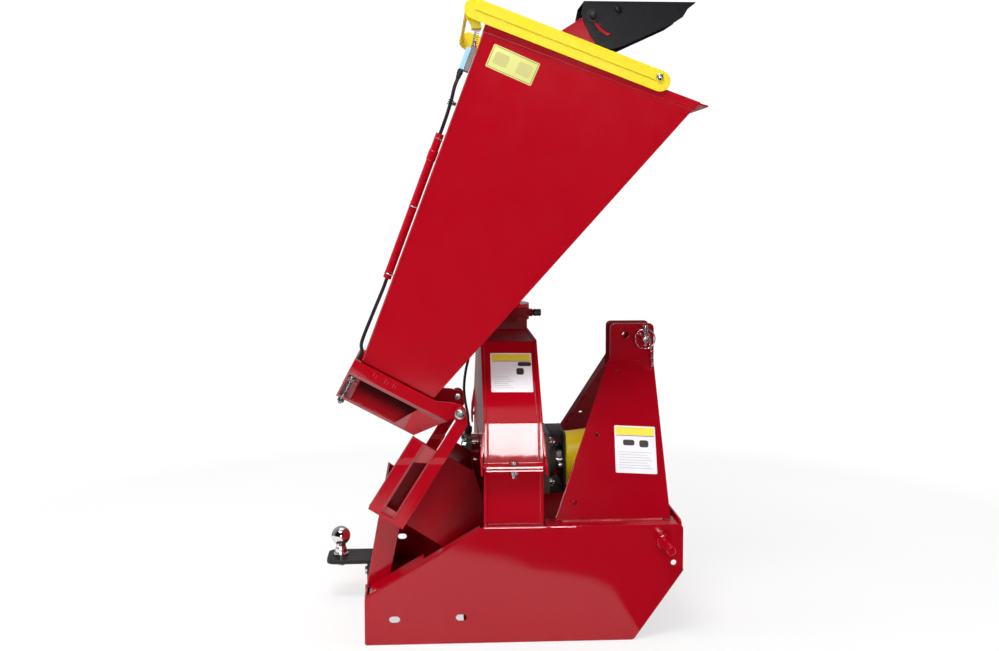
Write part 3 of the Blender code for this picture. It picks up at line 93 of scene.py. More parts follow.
def world_light():
    """White behind the machine for the camera; a dim room with bright walls beside it for the gloss."""
    w = bpy.data.worlds.new("studio")
    scene.world = w
    w.use_nodes = True
    t = w.node_tree
    t.nodes.clear()
    out = t.nodes.new("ShaderNodeOutputWorld")
    lp = t.nodes.new("ShaderNodeLightPath")

    def back(c, k):
        n = t.nodes.new("ShaderNodeBackground")
        n.inputs["Color"].default_value = (*c, 1)
        n.inputs["Strength"].default_value = k
        return n

    cam_bg = back((1, 1, 1), 1.05)
    soft = back((1.0, 0.995, 0.99), 0.15)
    gloss = back((1, 1, 1), 1.0)
    co = t.nodes.new("ShaderNodeTexCoord")
    sep = t.nodes.new("ShaderNodeSeparateXYZ")
    t.links.new(co.outputs["Generated"], sep.inputs[0])
    ramp = t.nodes.new("ShaderNodeValToRGB")
    e = ramp.color_ramp.elements
    e[0].position, e[0].color = 0.30, (0.004, 0.004, 0.004, 1)
    e[1].position, e[1].color = 0.64, (0.36, 0.36, 0.37, 1)
    m = t.nodes.new("ShaderNodeMapRange")
    m.inputs["From Min"].default_value = -1.0
    m.inputs["From Max"].default_value = 1.0
    t.links.new(sep.outputs["Y"], m.inputs["Value"])
    t.links.new(m.outputs["Result"], ramp.inputs["Fac"])
    # overhead is bright, the band above the softbox is dark
    up = t.nodes.new("ShaderNodeMapRange")
    up.interpolation_type = "SMOOTHSTEP"
    up.inputs["From Min"].default_value = 0.94
    up.inputs["From Max"].default_value = 0.995
    up.inputs["To Min"].default_value = 0.0
    up.inputs["To Max"].default_value = 0.8
    t.links.new(sep.outputs["Z"], up.inputs["Value"])
    add = t.nodes.new("ShaderNodeMix")
    add.data_type = "RGBA"
    add.blend_type = "ADD"
    add.inputs[0].default_value = 1.0
    t.links.new(ramp.outputs["Color"], add.inputs[6])
    t.links.new(up.outputs["Result"], add.inputs[7])
    t.links.new(add.outputs[2], gloss.inputs["Color"])
    a = t.nodes.new("ShaderNodeMixShader")
    t.links.new(lp.outputs["Is Glossy Ray"], a.inputs["Fac"])
    t.links.new(soft.outputs[0], a.inputs[1])
    t.links.new(gloss.outputs[0], a.inputs[2])
    c = t.nodes.new("ShaderNodeMixShader")
    t.links.new(lp.outputs["Is Camera Ray"], c.inputs["Fac"])
    t.links.new(a.outputs[0], c.inputs[1])
    t.links.new(cam_bg.outputs[0], c.inputs[2])
    t.links.new(c.outputs[0], out.inputs["Surface"])


world_light()


def area(name, loc, target, w, h, power, color=(1, 1, 1), gloss=True, diffuse=True):
    ld = bpy.data.lights.new(name, "AREA")
    ld.shape = "RECTANGLE"
    ld.size = w
    ld.size_y = h
    ld.energy = power
    ld.color = color
    o = bpy.data.objects.new(name, ld)
    scene.collection.objects.link(o)
    o.location = loc
    d = Vector(target) - Vector(loc)
    o.rotation_euler = d.to_track_quat("-Z", "Y").to_euler()
    o.visible_glossy = gloss
    o.visible_diffuse = diffuse
    o.visible_camera = False
    return o


area("softbox_key", (0.547, -9.0, 1.858), (0.0, -0.32, 0.50), 1.62, 1.14, 150.0)
area("fill_front", (-0.9, -2.4, 4.2), (0.0, -0.2, 0.6), 2.0, 1.2, 132)
area("wall_right", (3.6, -0.9, 1.7), (0.0, 0.0, 0.9), 1.3, 2.6, 34, gloss=False)
area("wall_left", (-3.6, -0.7, 1.7), (0.0, 0.0, 0.8), 1.3, 2.6, 60, gloss=False)
area("softbox_top", (0.1, 0.7, 4.3), (0.0, 0.1, 0.5), 2.6, 1.8, 34)
area("softbox_back", (0.6, 4.2, 2.4), (0.0, 0.0, 0.7), 3.0, 2.0, 50, gloss=False)

# ================================================================ materials
A_H = Vector((-math.cos(math.radians(28)), 0, math.sin(math.radians(28))))
P_H = Vector((-math.sin(math.radians(28)), 0, -math.cos(math.radians(28))))
A_F = Vector((-math.cos(math.radians(58)), 0, -math.sin(math.radians(58))))
P_F = Vector((math.sin(math.radians(58)), 0, -math.cos(math.radians(58))))
PIN = W(0.033, 0, 0.553)


class Mat:
    """A Principled material with a few helpers for its texture nodes."""

    def __init__(self, name, color, rough=0.4, metal=0.0, **more):
        self.m = bpy.data.materials.new(name)
        self.m.use_nodes = True
        self.t = self.m.node_tree
        self.b = self.t.nodes["Principled BSDF"]
        self.color = color
        self.b.inputs["Base Color"].default_value = (*color, 1)
        self.b.inputs["Roughness"].default_value = rough
        self.b.inputs["Metallic"].default_value = metal
        for k, v in more.items():
            self.b.inputs[k.replace("_", " ")].default_value = v
        self.co = self.t.nodes.new("ShaderNodeTexCoord").outputs["Object"]
        self.normal = None

    def new(self, kind, **inputs):
        n = self.t.nodes.new(kind)
        for k, v in inputs.items():
            n.inputs[k.replace("_", " ")].default_value = v
        return n

    def link(self, a, b):
        self.t.links.new(a, b)

    def scaled(self, s):
        n = self.new("ShaderNodeMapping")
        n.inputs["Scale"].default_value = s
        self.link(self.co, n.inputs["Vector"])
        return n.outputs["Vector"]

    def noise(self, scale, detail=2.0, rough=0.5, vec=None, distortion=0.0):
        n = self.new("ShaderNodeTexNoise", Scale=scale, Detail=detail, Roughness=rough, Distortion=distortion)
        self.link(vec or self.co, n.inputs["Vector"])
        return n.outputs["Fac"]

    def map(self, value, a, b, lo, hi, smooth=False):
        n = self.new("ShaderNodeMapRange")
        if smooth:
            n.interpolation_type = "SMOOTHSTEP"
        n.inputs["From Min"].default_value = a
        n.inputs["From Max"].default_value = b
        n.inputs["To Min"].default_value = lo
        n.inputs["To Max"].default_value = hi
        self.link(value, n.inputs["Value"])
        return n.outputs["Result"]

    def mix(self, fac, a, b):
        n = self.t.nodes.new("ShaderNodeMix")
        n.data_type = "RGBA"
        for sock, v in ((n.inputs[0], fac), (n.inputs[6], a), (n.inputs[7], b)):
            if isinstance(v, (int, float)):
                sock.default_value = v
            elif isinstance(v, tuple):
                sock.default_value = (*v, 1)
            else:
                self.link(v, sock)
        return n.outputs[2]

    def color_from(self, sock):
        self.link(sock, self.b.inputs["Base Color"])

    def rough_from(self, sock):
        self.link(sock, self.b.inputs["Roughness"])

    def bump(self, height, strength, distance):
        n = self.new("ShaderNodeBump", Strength=strength, Distance=distance)
        self.link(height, n.inputs["Height"])
        if self.normal is not None:
            self.link(self.normal, n.inputs["Normal"])
        self.normal = n.outputs["Normal"]
        self.link(self.normal, self.b.inputs["Normal"])


def tint(c, k):
    return tuple(max(0.0, min(1.0, x * k)) for x in c)


def paint(name, rgb, rough=0.12, spread=0.035, wave=0.5, peel=0.05, dust=0.0, shade_ramp=None):
    """Gloss powder coat: orange peel, slight waviness of the sheet, faint unevenness of colour, and an optional
    ramp of painted shade.
    """
    m = Mat(name, rgb, rough)
    big = m.noise(2.3, 2.0, 0.5)
    fine = m.noise(170.0, 3.0, 0.65)
    c = m.mix(m.map(big, 0.30, 0.70, 0.0, 1.0, True), tint(rgb, 1 - spread), tint(rgb, 1 + spread))
    c = m.mix(m.map(fine, 0.30, 0.70, 0.0, 1.0), c, tint(rgb, 0.93))
    if dust:
        speck = m.noise(260.0, 3.0, 0.7)
        c = m.mix(m.map(speck, 0.66, 0.78, 0.0, dust), c, (0.62, 0.55, 0.52))
    if shade_ramp:
        # painted shade: the colour darkens along one direction
        d, at, q0, q1, k = shade_ramp
        dot = m.t.nodes.new("ShaderNodeVectorMath")
        dot.operation = "DOT_PRODUCT"
        dot.inputs[1].default_value = d
        m.link(m.co, dot.inputs[0])
        off = Vector(d).dot(Vector(at))
        c = m.mix(m.map(dot.outputs["Value"], off + q0, off + q1, 0.0, 1.0, True), tint(rgb, k), c)
    m.color_from(c)
    m.rough_from(m.map(m.noise(18.0, 2.0, 0.5), 0.3, 0.7, rough * 0.88, rough * 1.15))
    m.bump(m.noise(6.0, 1.0, 0.4), wave * 0.2, 0.0016)
    m.bump(m.noise(420.0, 2.0, 0.5), peel, 0.0005)
    return m.m


def metal(name, rgb, rough=0.3, spread=0.12, streak=None, pit=0.06):
    m = Mat(name, rgb, rough, 1.0)
    n = m.noise(60.0, 4.0, 0.6)
    m.color_from(m.mix(m.map(n, 0.3, 0.7, 0.0, 1.0), tint(rgb, 1 - spread), tint(rgb, 1 + spread * 0.5)))
    m.rough_from(m.map(m.noise(140.0, 3.0, 0.6), 0.3, 0.7, rough * 0.75, rough * 1.3))
    if streak:
        m.bump(m.noise(1.0, 2.0, 0.5, m.scaled(streak)), 0.12, 0.0003)
    m.bump(m.noise(900.0, 2.0, 0.5), pit, 0.0003)
    return m.m


def plastic(name, rgb, rough=0.4, grain=0.05, scale=600.0, spread=0.05, metal_=0.0):
    m = Mat(name, rgb, rough, metal_)
    m.color_from(m.mix(m.map(m.noise(14.0, 3.0, 0.6), 0.3, 0.7, 0.0, 1.0), tint(rgb, 1 - spread), tint(rgb, 1 + spread)))
    m.rough_from(m.map(m.noise(70.0, 2.0, 0.5), 0.3, 0.7, rough * 0.88, rough * 1.15))
    m.bump(m.noise(scale, 2.0, 0.5), grain, 0.0004)
    return m.m


RED_BASE = (0.400, 0.0010, 0.0100)
RED_HOPPER = (0.440, 0.0010, 0.0100)
RED_FRAME = (0.430, 0.0010, 0.0100)
MATS = {
    "base_paint": paint("base_paint", RED_BASE, 0.10),
    "hopper_paint": paint("hopper_paint", RED_HOPPER, 0.13, wave=0.3),
    # A-frame: darker copy of the red than the other parts, painted shade
    "aframe_paint": paint("aframe_paint", (0.36, 0.001, 0.009), 0.12),
    "housing_paint": paint("housing_paint", RED_FRAME, 0.11, wave=0.9, peel=0.09),
    "yellow_paint": paint("yellow_paint", (0.84, 0.68, 0.010), 0.34, spread=0.04, wave=0.2),
    "guard_plastic": plastic("guard_plastic", (1.0, 0.80, 0.004), 0.38),
    "black_paint": plastic("black_paint", (0.010, 0.0105, 0.0125), 0.30, grain=0.08, scale=420.0),
    "bracket_paint": plastic("bracket_paint", (0.017, 0.0165, 0.016), 0.44, grain=0.16, scale=260.0),
    "bearing_iron": plastic("bearing_iron", (0.060, 0.055, 0.040), 0.42, grain=0.30, scale=190.0, spread=0.25),
    "zinc_plate": metal("zinc_plate", (0.70, 0.71, 0.72), 0.26),
    "chrome_ball": metal("chrome_ball", (0.78, 0.76, 0.75), 0.09, spread=0.05, pit=0.02),
    "rotor_steel": metal("rotor_steel", (0.38, 0.37, 0.37), 0.38, streak=(20, 20, 400)),
    "knife_steel": metal("knife_steel", (0.58, 0.58, 0.60), 0.26),
    "rubber": plastic("rubber", (0.022, 0.022, 0.022), 0.75, grain=0.3, scale=240.0, spread=0.3),
    "cable_sheath": plastic("cable_sheath", (0.012, 0.012, 0.013), 0.38, grain=0.06),
    "knob_plastic": plastic("knob_plastic", (0.012, 0.012, 0.012), 0.35),
    "switch_grey": plastic("switch_grey", (0.19, 0.17, 0.165), 0.42),
    "switch_blue": plastic("switch_blue", (0.30, 0.60, 0.94), 0.36),
    # pinkish red for inner faces of the frames: painted reflection
    "frame_inner_paint": paint("frame_inner_paint", (0.37, 0.085, 0.092), 0.34, spread=0.06, wave=0.3),
    "frame_web_paint": paint("frame_web_paint", (0.46, 0.016, 0.026), 0.30, spread=0.05, wave=0.3),
    # pinkish red for the slot lining and thin edge lines: painted highlight and painted reflection
    "frame_lining_painted_highlight": paint("frame_lining_painted_highlight", (0.47, 0.060, 0.066), 0.34, spread=0.06, wave=0.3),
    # recess web behind the hopper frame's window: darker red, darkest at the top, painted shade
    "frame_recess_paint": paint("frame_recess_paint", (0.36, 0.0010, 0.0080), 0.22, wave=0.4, shade_ramp=(tuple(P_H), tuple(PIN), 0.050, 0.100, 0.10)),
    # slot web of the infeed frame: dark red, painted shade
    "frame_slot_paint": paint("frame_slot_paint", (0.20, 0.0006, 0.0040), 0.30, wave=0.4),
    # throat: darker red, darker still towards the housing, painted shade
    "throat_paint": paint("throat_paint", (0.30, 0.0006, 0.0065), 0.20, wave=0.4, shade_ramp=((-1.0, 0.0, 0.0), (0.085 - XC, 0.0, 0.0), 0.0, 0.140, 0.30)),
    # weld beads: lighter, pinker red than the coat, painted highlight
    "weld_painted_highlight": paint("weld_painted_highlight", (0.50, 0.050, 0.056), 0.20, spread=0.12, wave=0.9, peel=0.25),
    # neck: darker, duller red, painted shade under the hopper
    "neck_paint": paint("neck_paint", (0.17, 0.0006, 0.0050), 0.42, wave=0.4),
    "label_yellow": plastic("label_yellow", (0.80, 0.82, 0.27), 0.36, grain=0.03, spread=0.02),
    "label_white": plastic("label_white", (0.90, 0.90, 0.94), 0.36, grain=0.03, spread=0.02),
    "label_band": plastic("label_band", (0.90, 0.80, 0.06), 0.36, grain=0.03, spread=0.02),
    "label_ochre": plastic("label_ochre", (0.60, 0.56, 0.20), 0.36, grain=0.03, spread=0.02),
    # far A-frame plate: darker copy of the red, painted shade
    "far_plate_paint": paint("far_plate_paint", (0.25, 0.001, 0.008), 0.30, wave=0.4),
    # closing sheet inside the base: very dark red, painted shade
    "pan_paint": paint("pan_paint", (0.13, 0.0006, 0.0040), 0.45, wave=0.4),
    "label_dark": plastic("label_dark", (0.035, 0.030, 0.032), 0.40, grain=0.03, spread=0.05),
    "label_pale": plastic("label_pale", (0.62, 0.61, 0.64), 0.38, grain=0.03, spread=0.03),
    "guard_plate": plastic("guard_plate", (0.009, 0.010, 0.008), 0.55, grain=0.20, scale=220.0),
}

for _n, _k in (("throat_paint", 0.22), ("frame_slot_paint", 0.16), ("frame_recess_paint", 0.20), ("neck_paint", 0.16), ("guard_plastic", 0.28), ("pan_paint", 0.12), ("yellow_paint", 0.22), ("black_paint", 0.14), ("far_plate_paint", 0.20),
               ("bracket_paint", 0.30)):
    MATS[_n].node_tree.nodes["Principled BSDF"].inputs["Specular IOR Level"].default_value = _k


def dull_band(mat, z0, z1, soft):
    """The coat is rough and speckled in a low band above the split flange."""
    t = mat.node_tree
    b = t.nodes["Principled BSDF"]
    src = b.inputs["Roughness"].links[0].from_socket
    co = t.nodes.new("ShaderNodeTexCoord")
    sep = t.nodes.new("ShaderNodeSeparateXYZ")
    t.links.new(co.outputs["Object"], sep.inputs[0])
    n = t.nodes.new("ShaderNodeTexNoise")
    n.inputs["Scale"].default_value = 75.0
    n.inputs["Detail"].default_value = 4.0
    t.links.new(co.outputs["Object"], n.inputs["Vector"])
    jit = t.nodes.new("ShaderNodeMath")
    jit.operation = "MULTIPLY_ADD"
    jit.inputs[1].default_value = 0.018
    t.links.new(n.outputs["Fac"], jit.inputs[0])
    t.links.new(sep.outputs["Z"], jit.inputs[2])
    hi = t.nodes.new("ShaderNodeMapRange")
    hi.inputs["From Min"].default_value = z1 + 0.009 + soft
    hi.inputs["From Max"].default_value = z1 + 0.009
    t.links.new(jit.outputs[0], hi.inputs["Value"])
    lo = t.nodes.new("ShaderNodeMapRange")
    lo.inputs["From Min"].default_value = z0
    lo.inputs["From Max"].default_value = z0 + 0.0005
    t.links.new(sep.outputs["Z"], lo.inputs["Value"])
    k = t.nodes.new("ShaderNodeMath")
    k.operation = "MULTIPLY"
    t.links.new(hi.outputs[0], k.inputs[0])
    t.links.new(lo.outputs[0], k.inputs[1])
    mix = t.nodes.new("ShaderNodeMix")
    t.links.new(k.outputs[0], mix.inputs[0])
    t.links.new(src, mix.inputs[2])
    mix.inputs[3].default_value = 0.55
    t.links.new(mix.outputs[0], b.inputs["Roughness"])


dull_band(MATS["housing_paint"], 0.4330, 0.4420, 0.010)

# ================================================================ mesh tools
def link(o):
    scene.collection.objects.link(o)
    return o


def finish_mesh(me, smooth=38.0):
    me.shade_smooth()
    me.set_sharp_from_angle(angle=math.radians(smooth))


def dress(name, width=0.0010, segs=2, angle=24.0, slot=None, smooth=None):
    """A clean copy of a node with its edges rounded, standing for the node."""
    src = NODES[name]
    bm = bmesh.new()
    bm.from_mesh(src.data)
    bmesh.ops.remove_doubles(bm, verts=bm.verts, dist=2e-6)
    bmesh.ops.dissolve_limit(bm, angle_limit=math.radians(0.7), verts=bm.verts, edges=bm.edges)
    bmesh.ops.triangulate(bm, faces=[f for f in bm.faces if len(f.verts) > 4], quad_method="BEAUTY", ngon_method="BEAUTY")
    bm.normal_update()
    lay = bm.edges.layers.float.new("bevel_weight_edge")
    lim = math.radians(angle)
    sharp = {}
    for e in bm.edges:
        if len(e.link_faces) == 2 and e.calc_face_angle(0.0) > lim:
            sharp[e] = 1.0
    for e in sharp:
        w = 1.0
        for v in e.verts:
            de = (e.other_vert(v).co - v.co)
            if de.length < 1e-9:
                w = 0
                continue
            de.normalize()
            for f in v.link_edges:
                if f is e:
                    continue
                df = f.other_vert(v).co - v.co
                if df.length < 1e-9:
                    w = 0
                    continue
                s = df.normalized().cross(de).length
                if s < 0.30 and f in sharp:
                    continue
                w = min(w, 0.44 * df.length * max(s, 0.25) / width)
        w = min(w, 0.44 * e.calc_length() / width if e.calc_length() < width * 2 else 1.0)
        e[lay] = w if w > 0.12 else 0.0
    me = bpy.data.meshes.new(name + "_finish")
    bm.to_mesh(me)
    bm.free()
    o = link(bpy.data.objects.new(name + "_finish", me))
    md = o.modifiers.new("edges", "BEVEL")
    md.limit_method = "WEIGHT"
    md.width = width
    md.segments = segs
    md.use_clamp_overlap = False
    md.loop_slide = True
    md.miter_outer = "MITER_SHARP"
    md.harden_normals = False
    me.shade_smooth()
    dg = bpy.context.evaluated_depsgraph_get()
    me2 = bpy.data.meshes.new_from_object(o.evaluated_get(dg))
    o.modifiers.clear()
    o.data = me2
    bpy.data.meshes.remove(me)
    me2.name = name + "_finish"
    me2.materials.clear()
    me2.materials.append(MATS[slot or SLOT[name]])
    me2.shade_smooth()
    me2.set_sharp_from_angle(angle=math.radians(smooth or 46.0))
    wn = o.modifiers.new("normals", "WEIGHTED_NORMAL")
    wn.keep_sharp = True
    wn.weight = 80
    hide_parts(name)
    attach(o, BODY[name])
    return o


HI = {"tow_ball", "tow_ball_nut", "tow_bolt_upper", "tow_bolt_lower", "hitch_pin_near", "hitch_pin_far", "top_link_pin", "linch_pin",
      "linch_ring", "hinge_pin_near", "hinge_pin_far", "pto_guard", "rotor_shaft", "lock_knob", "speed_sensor_gland", "switch_gland",
      "cable_upper", "cable_slack", "cable_conduit", "housing_bolt_near", "housing_bolt_far", "clamp_bolt", "deflector_pivot_near",
      "deflector_pivot_far", "deflector_lock_bolt", "bar_pivot_near", "bar_pivot_far", "bar_spring"}
for _n in sorted(NODES):
    if _n not in HI:
        # the throat gets the darker paint: painted shade
        dress(_n, 0.0010, slot={"infeed_throat": "throat_paint"}.get(_n))


# ================================================================ turned and swept pieces
def build(name, bm, mat, body, nodes=(), smooth=35.0):
    """Turn a bmesh into a finished piece that rides on a body."""
    bmesh.ops.recalc_face_normals(bm, faces=bm.faces)
    me = bpy.data.meshes.new(name)
    bm.to_mesh(me)
    bm.free()
    me.materials.append(MATS[mat])
    me.shade_smooth()
    me.set_sharp_from_angle(angle=math.radians(smooth))
    o = link(bpy.data.objects.new(name, me))
    if nodes:
        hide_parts(*nodes)
    if body:
        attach(o, body)
    return o


def place(p0, axis):
    q = Vector(axis).to_track_quat("Z", "Y").to_matrix().to_4x4()
    return Matrix.Translation(p0) @ q


def soften(prof, r, seg=3):
    """Round the corners of an open (r, h) profile."""
    out = [prof[0]]
    for i in range(1, len(prof) - 1):
        p, a, b = Vector(prof[i]), Vector(prof[i - 1]), Vector(prof[i + 1])
        da, db = a - p, b - p
        if da.length < 1e-7 or db.length < 1e-7:
            out.append(prof[i])
            continue
        turn = math.pi - da.angle(db)
        if turn < math.radians(12):
            out.append(prof[i])
            continue
        t = min(r, 0.45 * da.length, 0.45 * db.length)
        p0, p1 = p + da.normalized() * t, p + db.normalized() * t
        for k in range(seg + 1):
            f = k / seg
            q = p0 * (1 - f) ** 2 + p * 2 * f * (1 - f) + p1 * f * f
            out.append((max(0.0, q.x), q.y))
    out.append(prof[-1])
    return out


def skin(bm, rings, closed=False):
    n = len(rings)
    for i in range(n - 1 + (1 if closed else 0)):
        A, B = rings[i], rings[(i + 1) % n]
        m = max(len(A), len(B))
        for k in range(m):
            l = (k + 1) % m
            if len(A) == 1 and len(B) == 1:
                continue
            if len(A) == 1:
                bm.faces.new((A[0], B[k], B[l]))
            elif len(B) == 1:
                bm.faces.new((A[k], B[0], A[l]))
            else:
                bm.faces.new((A[k], A[l], B[l], B[k]))


def lathe(bm, prof, p0, axis, n=64, r=0.0004, wobble=None):
    """Surface of revolution; the profile starts and ends on the axis, or is a closed ring."""
    M = place(p0, axis)
    ring = prof[0][0] > 1e-7
    if r:
        prof = soften([prof[-1]] + list(prof) + [prof[0]], r)[1:-1] if ring else soften(prof, r)
    rings = []
    for rad, h in prof:
        if rad < 1e-7:
            rings.append([bm.verts.new(M @ Vector((0, 0, h)))])
        else:
            row = []
            for k in range(n):
                a = 2 * math.pi * k / n
                q = rad * (wobble(a, rad, h) if wobble else 1.0)
                row.append(bm.verts.new(M @ Vector((q * math.cos(a), q * math.sin(a), h))))
            rings.append(row)
    skin(bm, rings, ring)


def hexagon(bm, p0, axis, rad, h, n=48, turn=0.0):
    """Hexagon head or nut with its chamfered crown."""
    ap = rad * math.cos(math.pi / 6)
    M = place(p0, axis) @ Matrix.Rotation(turn, 4, "Z")

    def rr(a, lim):
        q = ap / math.cos((a + math.pi / 6) % (math.pi / 3) - math.pi / 6)
        return min(q, lim)
    rings = [[bm.verts.new(M @ Vector((0, 0, 0)))]]
    for z, lim in ((0.0, ap * 1.01), (0.0, ap * 1.03), (rad * 0.05, rad), (h - rad * 0.13, rad), (h - rad * 0.06, ap * 1.08), (h - rad * 0.012, ap * 0.97), (h, ap * 0.93)):
        rings.append([bm.verts.new(M @ Vector((rr(2 * math.pi * k / n, lim) * math.cos(2 * math.pi * k / n),
                                               rr(2 * math.pi * k / n, lim) * math.sin(2 * math.pi * k / n), z))) for k in range(n)])
    rings.append([bm.verts.new(M @ Vector((0, 0, h)))])
    skin(bm, rings)


def washer(bm, p0, axis, rad, t, hole=0.004, n=48):
    lathe(bm, [(hole, 0.0), (rad, 0.0), (rad, t), (hole, t)], p0, axis, n, min(0.0004, t * 0.3))


def thread(bm, p0, axis, rad, h, pitch=0.00125, n=32):
    prof = [(0.0, 0.0), (rad * 0.86, 0.0)]
    z = 0.0004
    while z < h - pitch:
        prof += [(rad * 0.90, z), (rad, z + pitch * 0.35), (rad, z + pitch * 0.5), (rad * 0.90, z + pitch * 0.85)]
        z += pitch
    prof += [(rad * 0.80, h), (0.0, h)]
    lathe(bm, prof, p0, axis, n, 0.0)


def sweep(bm, pts, rad, n=16, cyclic=False, ends=True, prof=None):
    """Tube along a polyline; prof(i, a) scales its radius."""
    P = [Vector(q) for q in pts]
    m = len(P)
    T = []
    for i in range(m):
        a = P[i - 1] if (i or cyclic) else P[0]
        b = P[(i + 1) % m] if (i < m - 1 or cyclic) else P[-1]
        T.append((b - a).normalized())
    up = T[0].orthogonal().normalized()
    rings = []
    for i in range(m):
        up = (up - T[i] * up.dot(T[i])).normalized()
        sd = T[i].cross(up)
        rings.append([bm.verts.new(P[i] + (up * math.cos(2 * math.pi * k / n) + sd * math.sin(2 * math.pi * k / n))
                                   * rad * (prof(i, 2 * math.pi * k / n) if prof else 1.0)) for k in range(n)])
    skin(bm, rings, cyclic)
    if not cyclic and ends:
        bm.faces.new(rings[0])
        bm.faces.new(rings[-1])


def catmull(pts, step):
    """Points every step along a smooth curve through the route's points."""
    P = [Vector(q) for q in pts]
    P = [2 * P[0] - P[1]] + P + [2 * P[-1] - P[-2]]
    fine = []
    for i in range(1, len(P) - 2):
        for k in range(24):
            t = k / 24
            a, b, c, d = P[i - 1], P[i], P[i + 1], P[i + 2]
            fine.append(0.5 * ((2 * b) + (c - a) * t + (2 * a - 5 * b + 4 * c - d) * t * t
                               + (3 * b - a - 3 * c + d) * t ** 3))
    fine.append(P[-2])
    total = sum((fine[i + 1] - fine[i]).length for i in range(len(fine) - 1))
    n = max(3, round(total / step))
    out, acc, goal = [fine[0]], 0.0, total / n
    for i in range(len(fine) - 1):
        seg = (fine[i + 1] - fine[i]).length
        while acc + seg >= goal - 1e-9 and len(out) < n:
            out.append(fine[i].lerp(fine[i + 1], (goal - acc) / seg if seg else 0))
            goal += total / n
        acc += seg
    out.append(fine[-1])
    return out


def slab(bm, outline, t, M, soft=0.0006):
    """Flat plate from an outline in M's x-y plane, t thick along z, with softened edges."""
    lo = [bm.verts.new(M @ Vector((x, y, 0))) for x, y in outline]
    hi = [bm.verts.new(M @ Vector((x, y, t))) for x, y in outline]
    n = len(outline)
    fs = [bm.faces.new(lo[::-1]), bm.faces.new(hi)]
    for k in range(n):
        l = (k + 1) % n
        fs.append(bm.faces.new((lo[k], lo[l], hi[l], hi[k])))
    if soft:
        es = [bm.edges.get((hi[k], hi[(k + 1) % n])) for k in range(n)]
        es += [bm.edges.get((lo[k], lo[(k + 1) % n])) for k in range(n)]
        bmesh.ops.bevel(bm, geom=[e for e in es if e], offset=soft, segments=2, affect="EDGES", profile=0.5)


def rounded(pts, r, seg=4):
    out = []
    n = len(pts)
    for i in range(n):
        p, a, b = Vector(pts[i]), Vector(pts[i - 1]), Vector(pts[(i + 1) % n])
        da, db = (a - p), (b - p)
        t = min(r, 0.45 * da.length, 0.45 * db.length)
        p0, p1 = p + da.normalized() * t, p + db.normalized() * t
        for k in range(seg + 1):
            f = k / seg
            q = p0 * (1 - f) ** 2 + p * 2 * f * (1 - f) + p1 * f * f
            out.append((q.x, q.y))
    return out


def bolt_through(name, head, end, rad, head_r, head_h, nut_h, nut_at, body, node, w_r=None, w_t=0.0002, turn=0.2):
    head, end = Vector(head), Vector(end)
    d = (end - head).normalized()
    bm = bmesh.new()
    hexagon(bm, head, -d, head_r, head_h, turn=turn)
    lathe(bm, [(0.0, 0.0), (rad, 0.0), (rad, nut_at), (0.0, nut_at)], head, d, 32)
    thread(bm, head + d * nut_at, d, rad * 0.99, (end - head).length - nut_at)
    hexagon(bm, head + d * nut_at, d, head_r, nut_h, turn=turn + 0.5)
    return build(name, bm, "zinc_plate", body, (node,))


# ---------------------------------------------------------------- hitch
def hitch():
    for sy, nm in ((-1, "near"), (1, "far")):
        bm = bmesh.new()
        c = W(0.523, sy * 0.345, 0.243)
        d = Vector((0, sy, 0))
        lathe(bm, [(0.0, 0.0895), (0.0085, 0.0895), (0.0107, 0.0868), (0.0107, 0.0780), (0.0100, 0.0772), (0.0100, 0.0752), (0.0107, 0.0744),
                   (0.0107, 0.0147), (0.0150, 0.0147), (0.0195, 0.0135), (0.0195, 0.0005), (0.0110, 0.0005), (0.0110, -0.030), (0.0, -0.030)], c, d, 72, 0.0006)
        hexagon(bm, c - d * 0.0052, -d, 0.0188, 0.0150)
        thread(bm, c - d * 0.020, -d, 0.0108, 0.0138)
        build("hitch_pin_" + nm + "_body", bm, "base_paint", "frame", ("hitch_pin_" + nm,))
    bm = bmesh.new()
    c = W(0.5256, 0, 0.697)
    lathe(bm, [(0.0, 0.060), (0.0115, 0.060), (0.0143, 0.0575), (0.0143, 0.0502), (0.0093, 0.0500), (0.0093, -0.0765), (0.0070, -0.0798), (0.0, -0.0798)],
          c, (0, 1, 0), 64, 0.0006)
    build("top_link_pin_body", bm, "zinc_plate", "frame", ("top_link_pin",))
    bm = bmesh.new()
    a = W(0.5256, -0.066, 0.6767)
    lathe(bm, [(0.0, 0.0), (0.0022, 0.0004), (0.0039, 0.0034), (0.0039, 0.0372), (0.0074, 0.0380), (0.0074, 0.0546), (0.0060, 0.0557), (0.0, 0.0557)], a, (0, 0, 1), 40)
    build("linch_pin_body", bm, "zinc_plate", "frame", ("linch_pin",))
    bm = bmesh.new()
    rc = W(0.5256, -0.066, 0.697)
    sweep(bm, [rc + Vector((0.026 * math.cos(2 * math.pi * k / 72), 0, 0.026 * math.sin(2 * math.pi * k / 72))) for k in range(72)], 0.00165, 12, True)
    build("linch_ring_body", bm, "zinc_plate", "ring", ("linch_ring",))


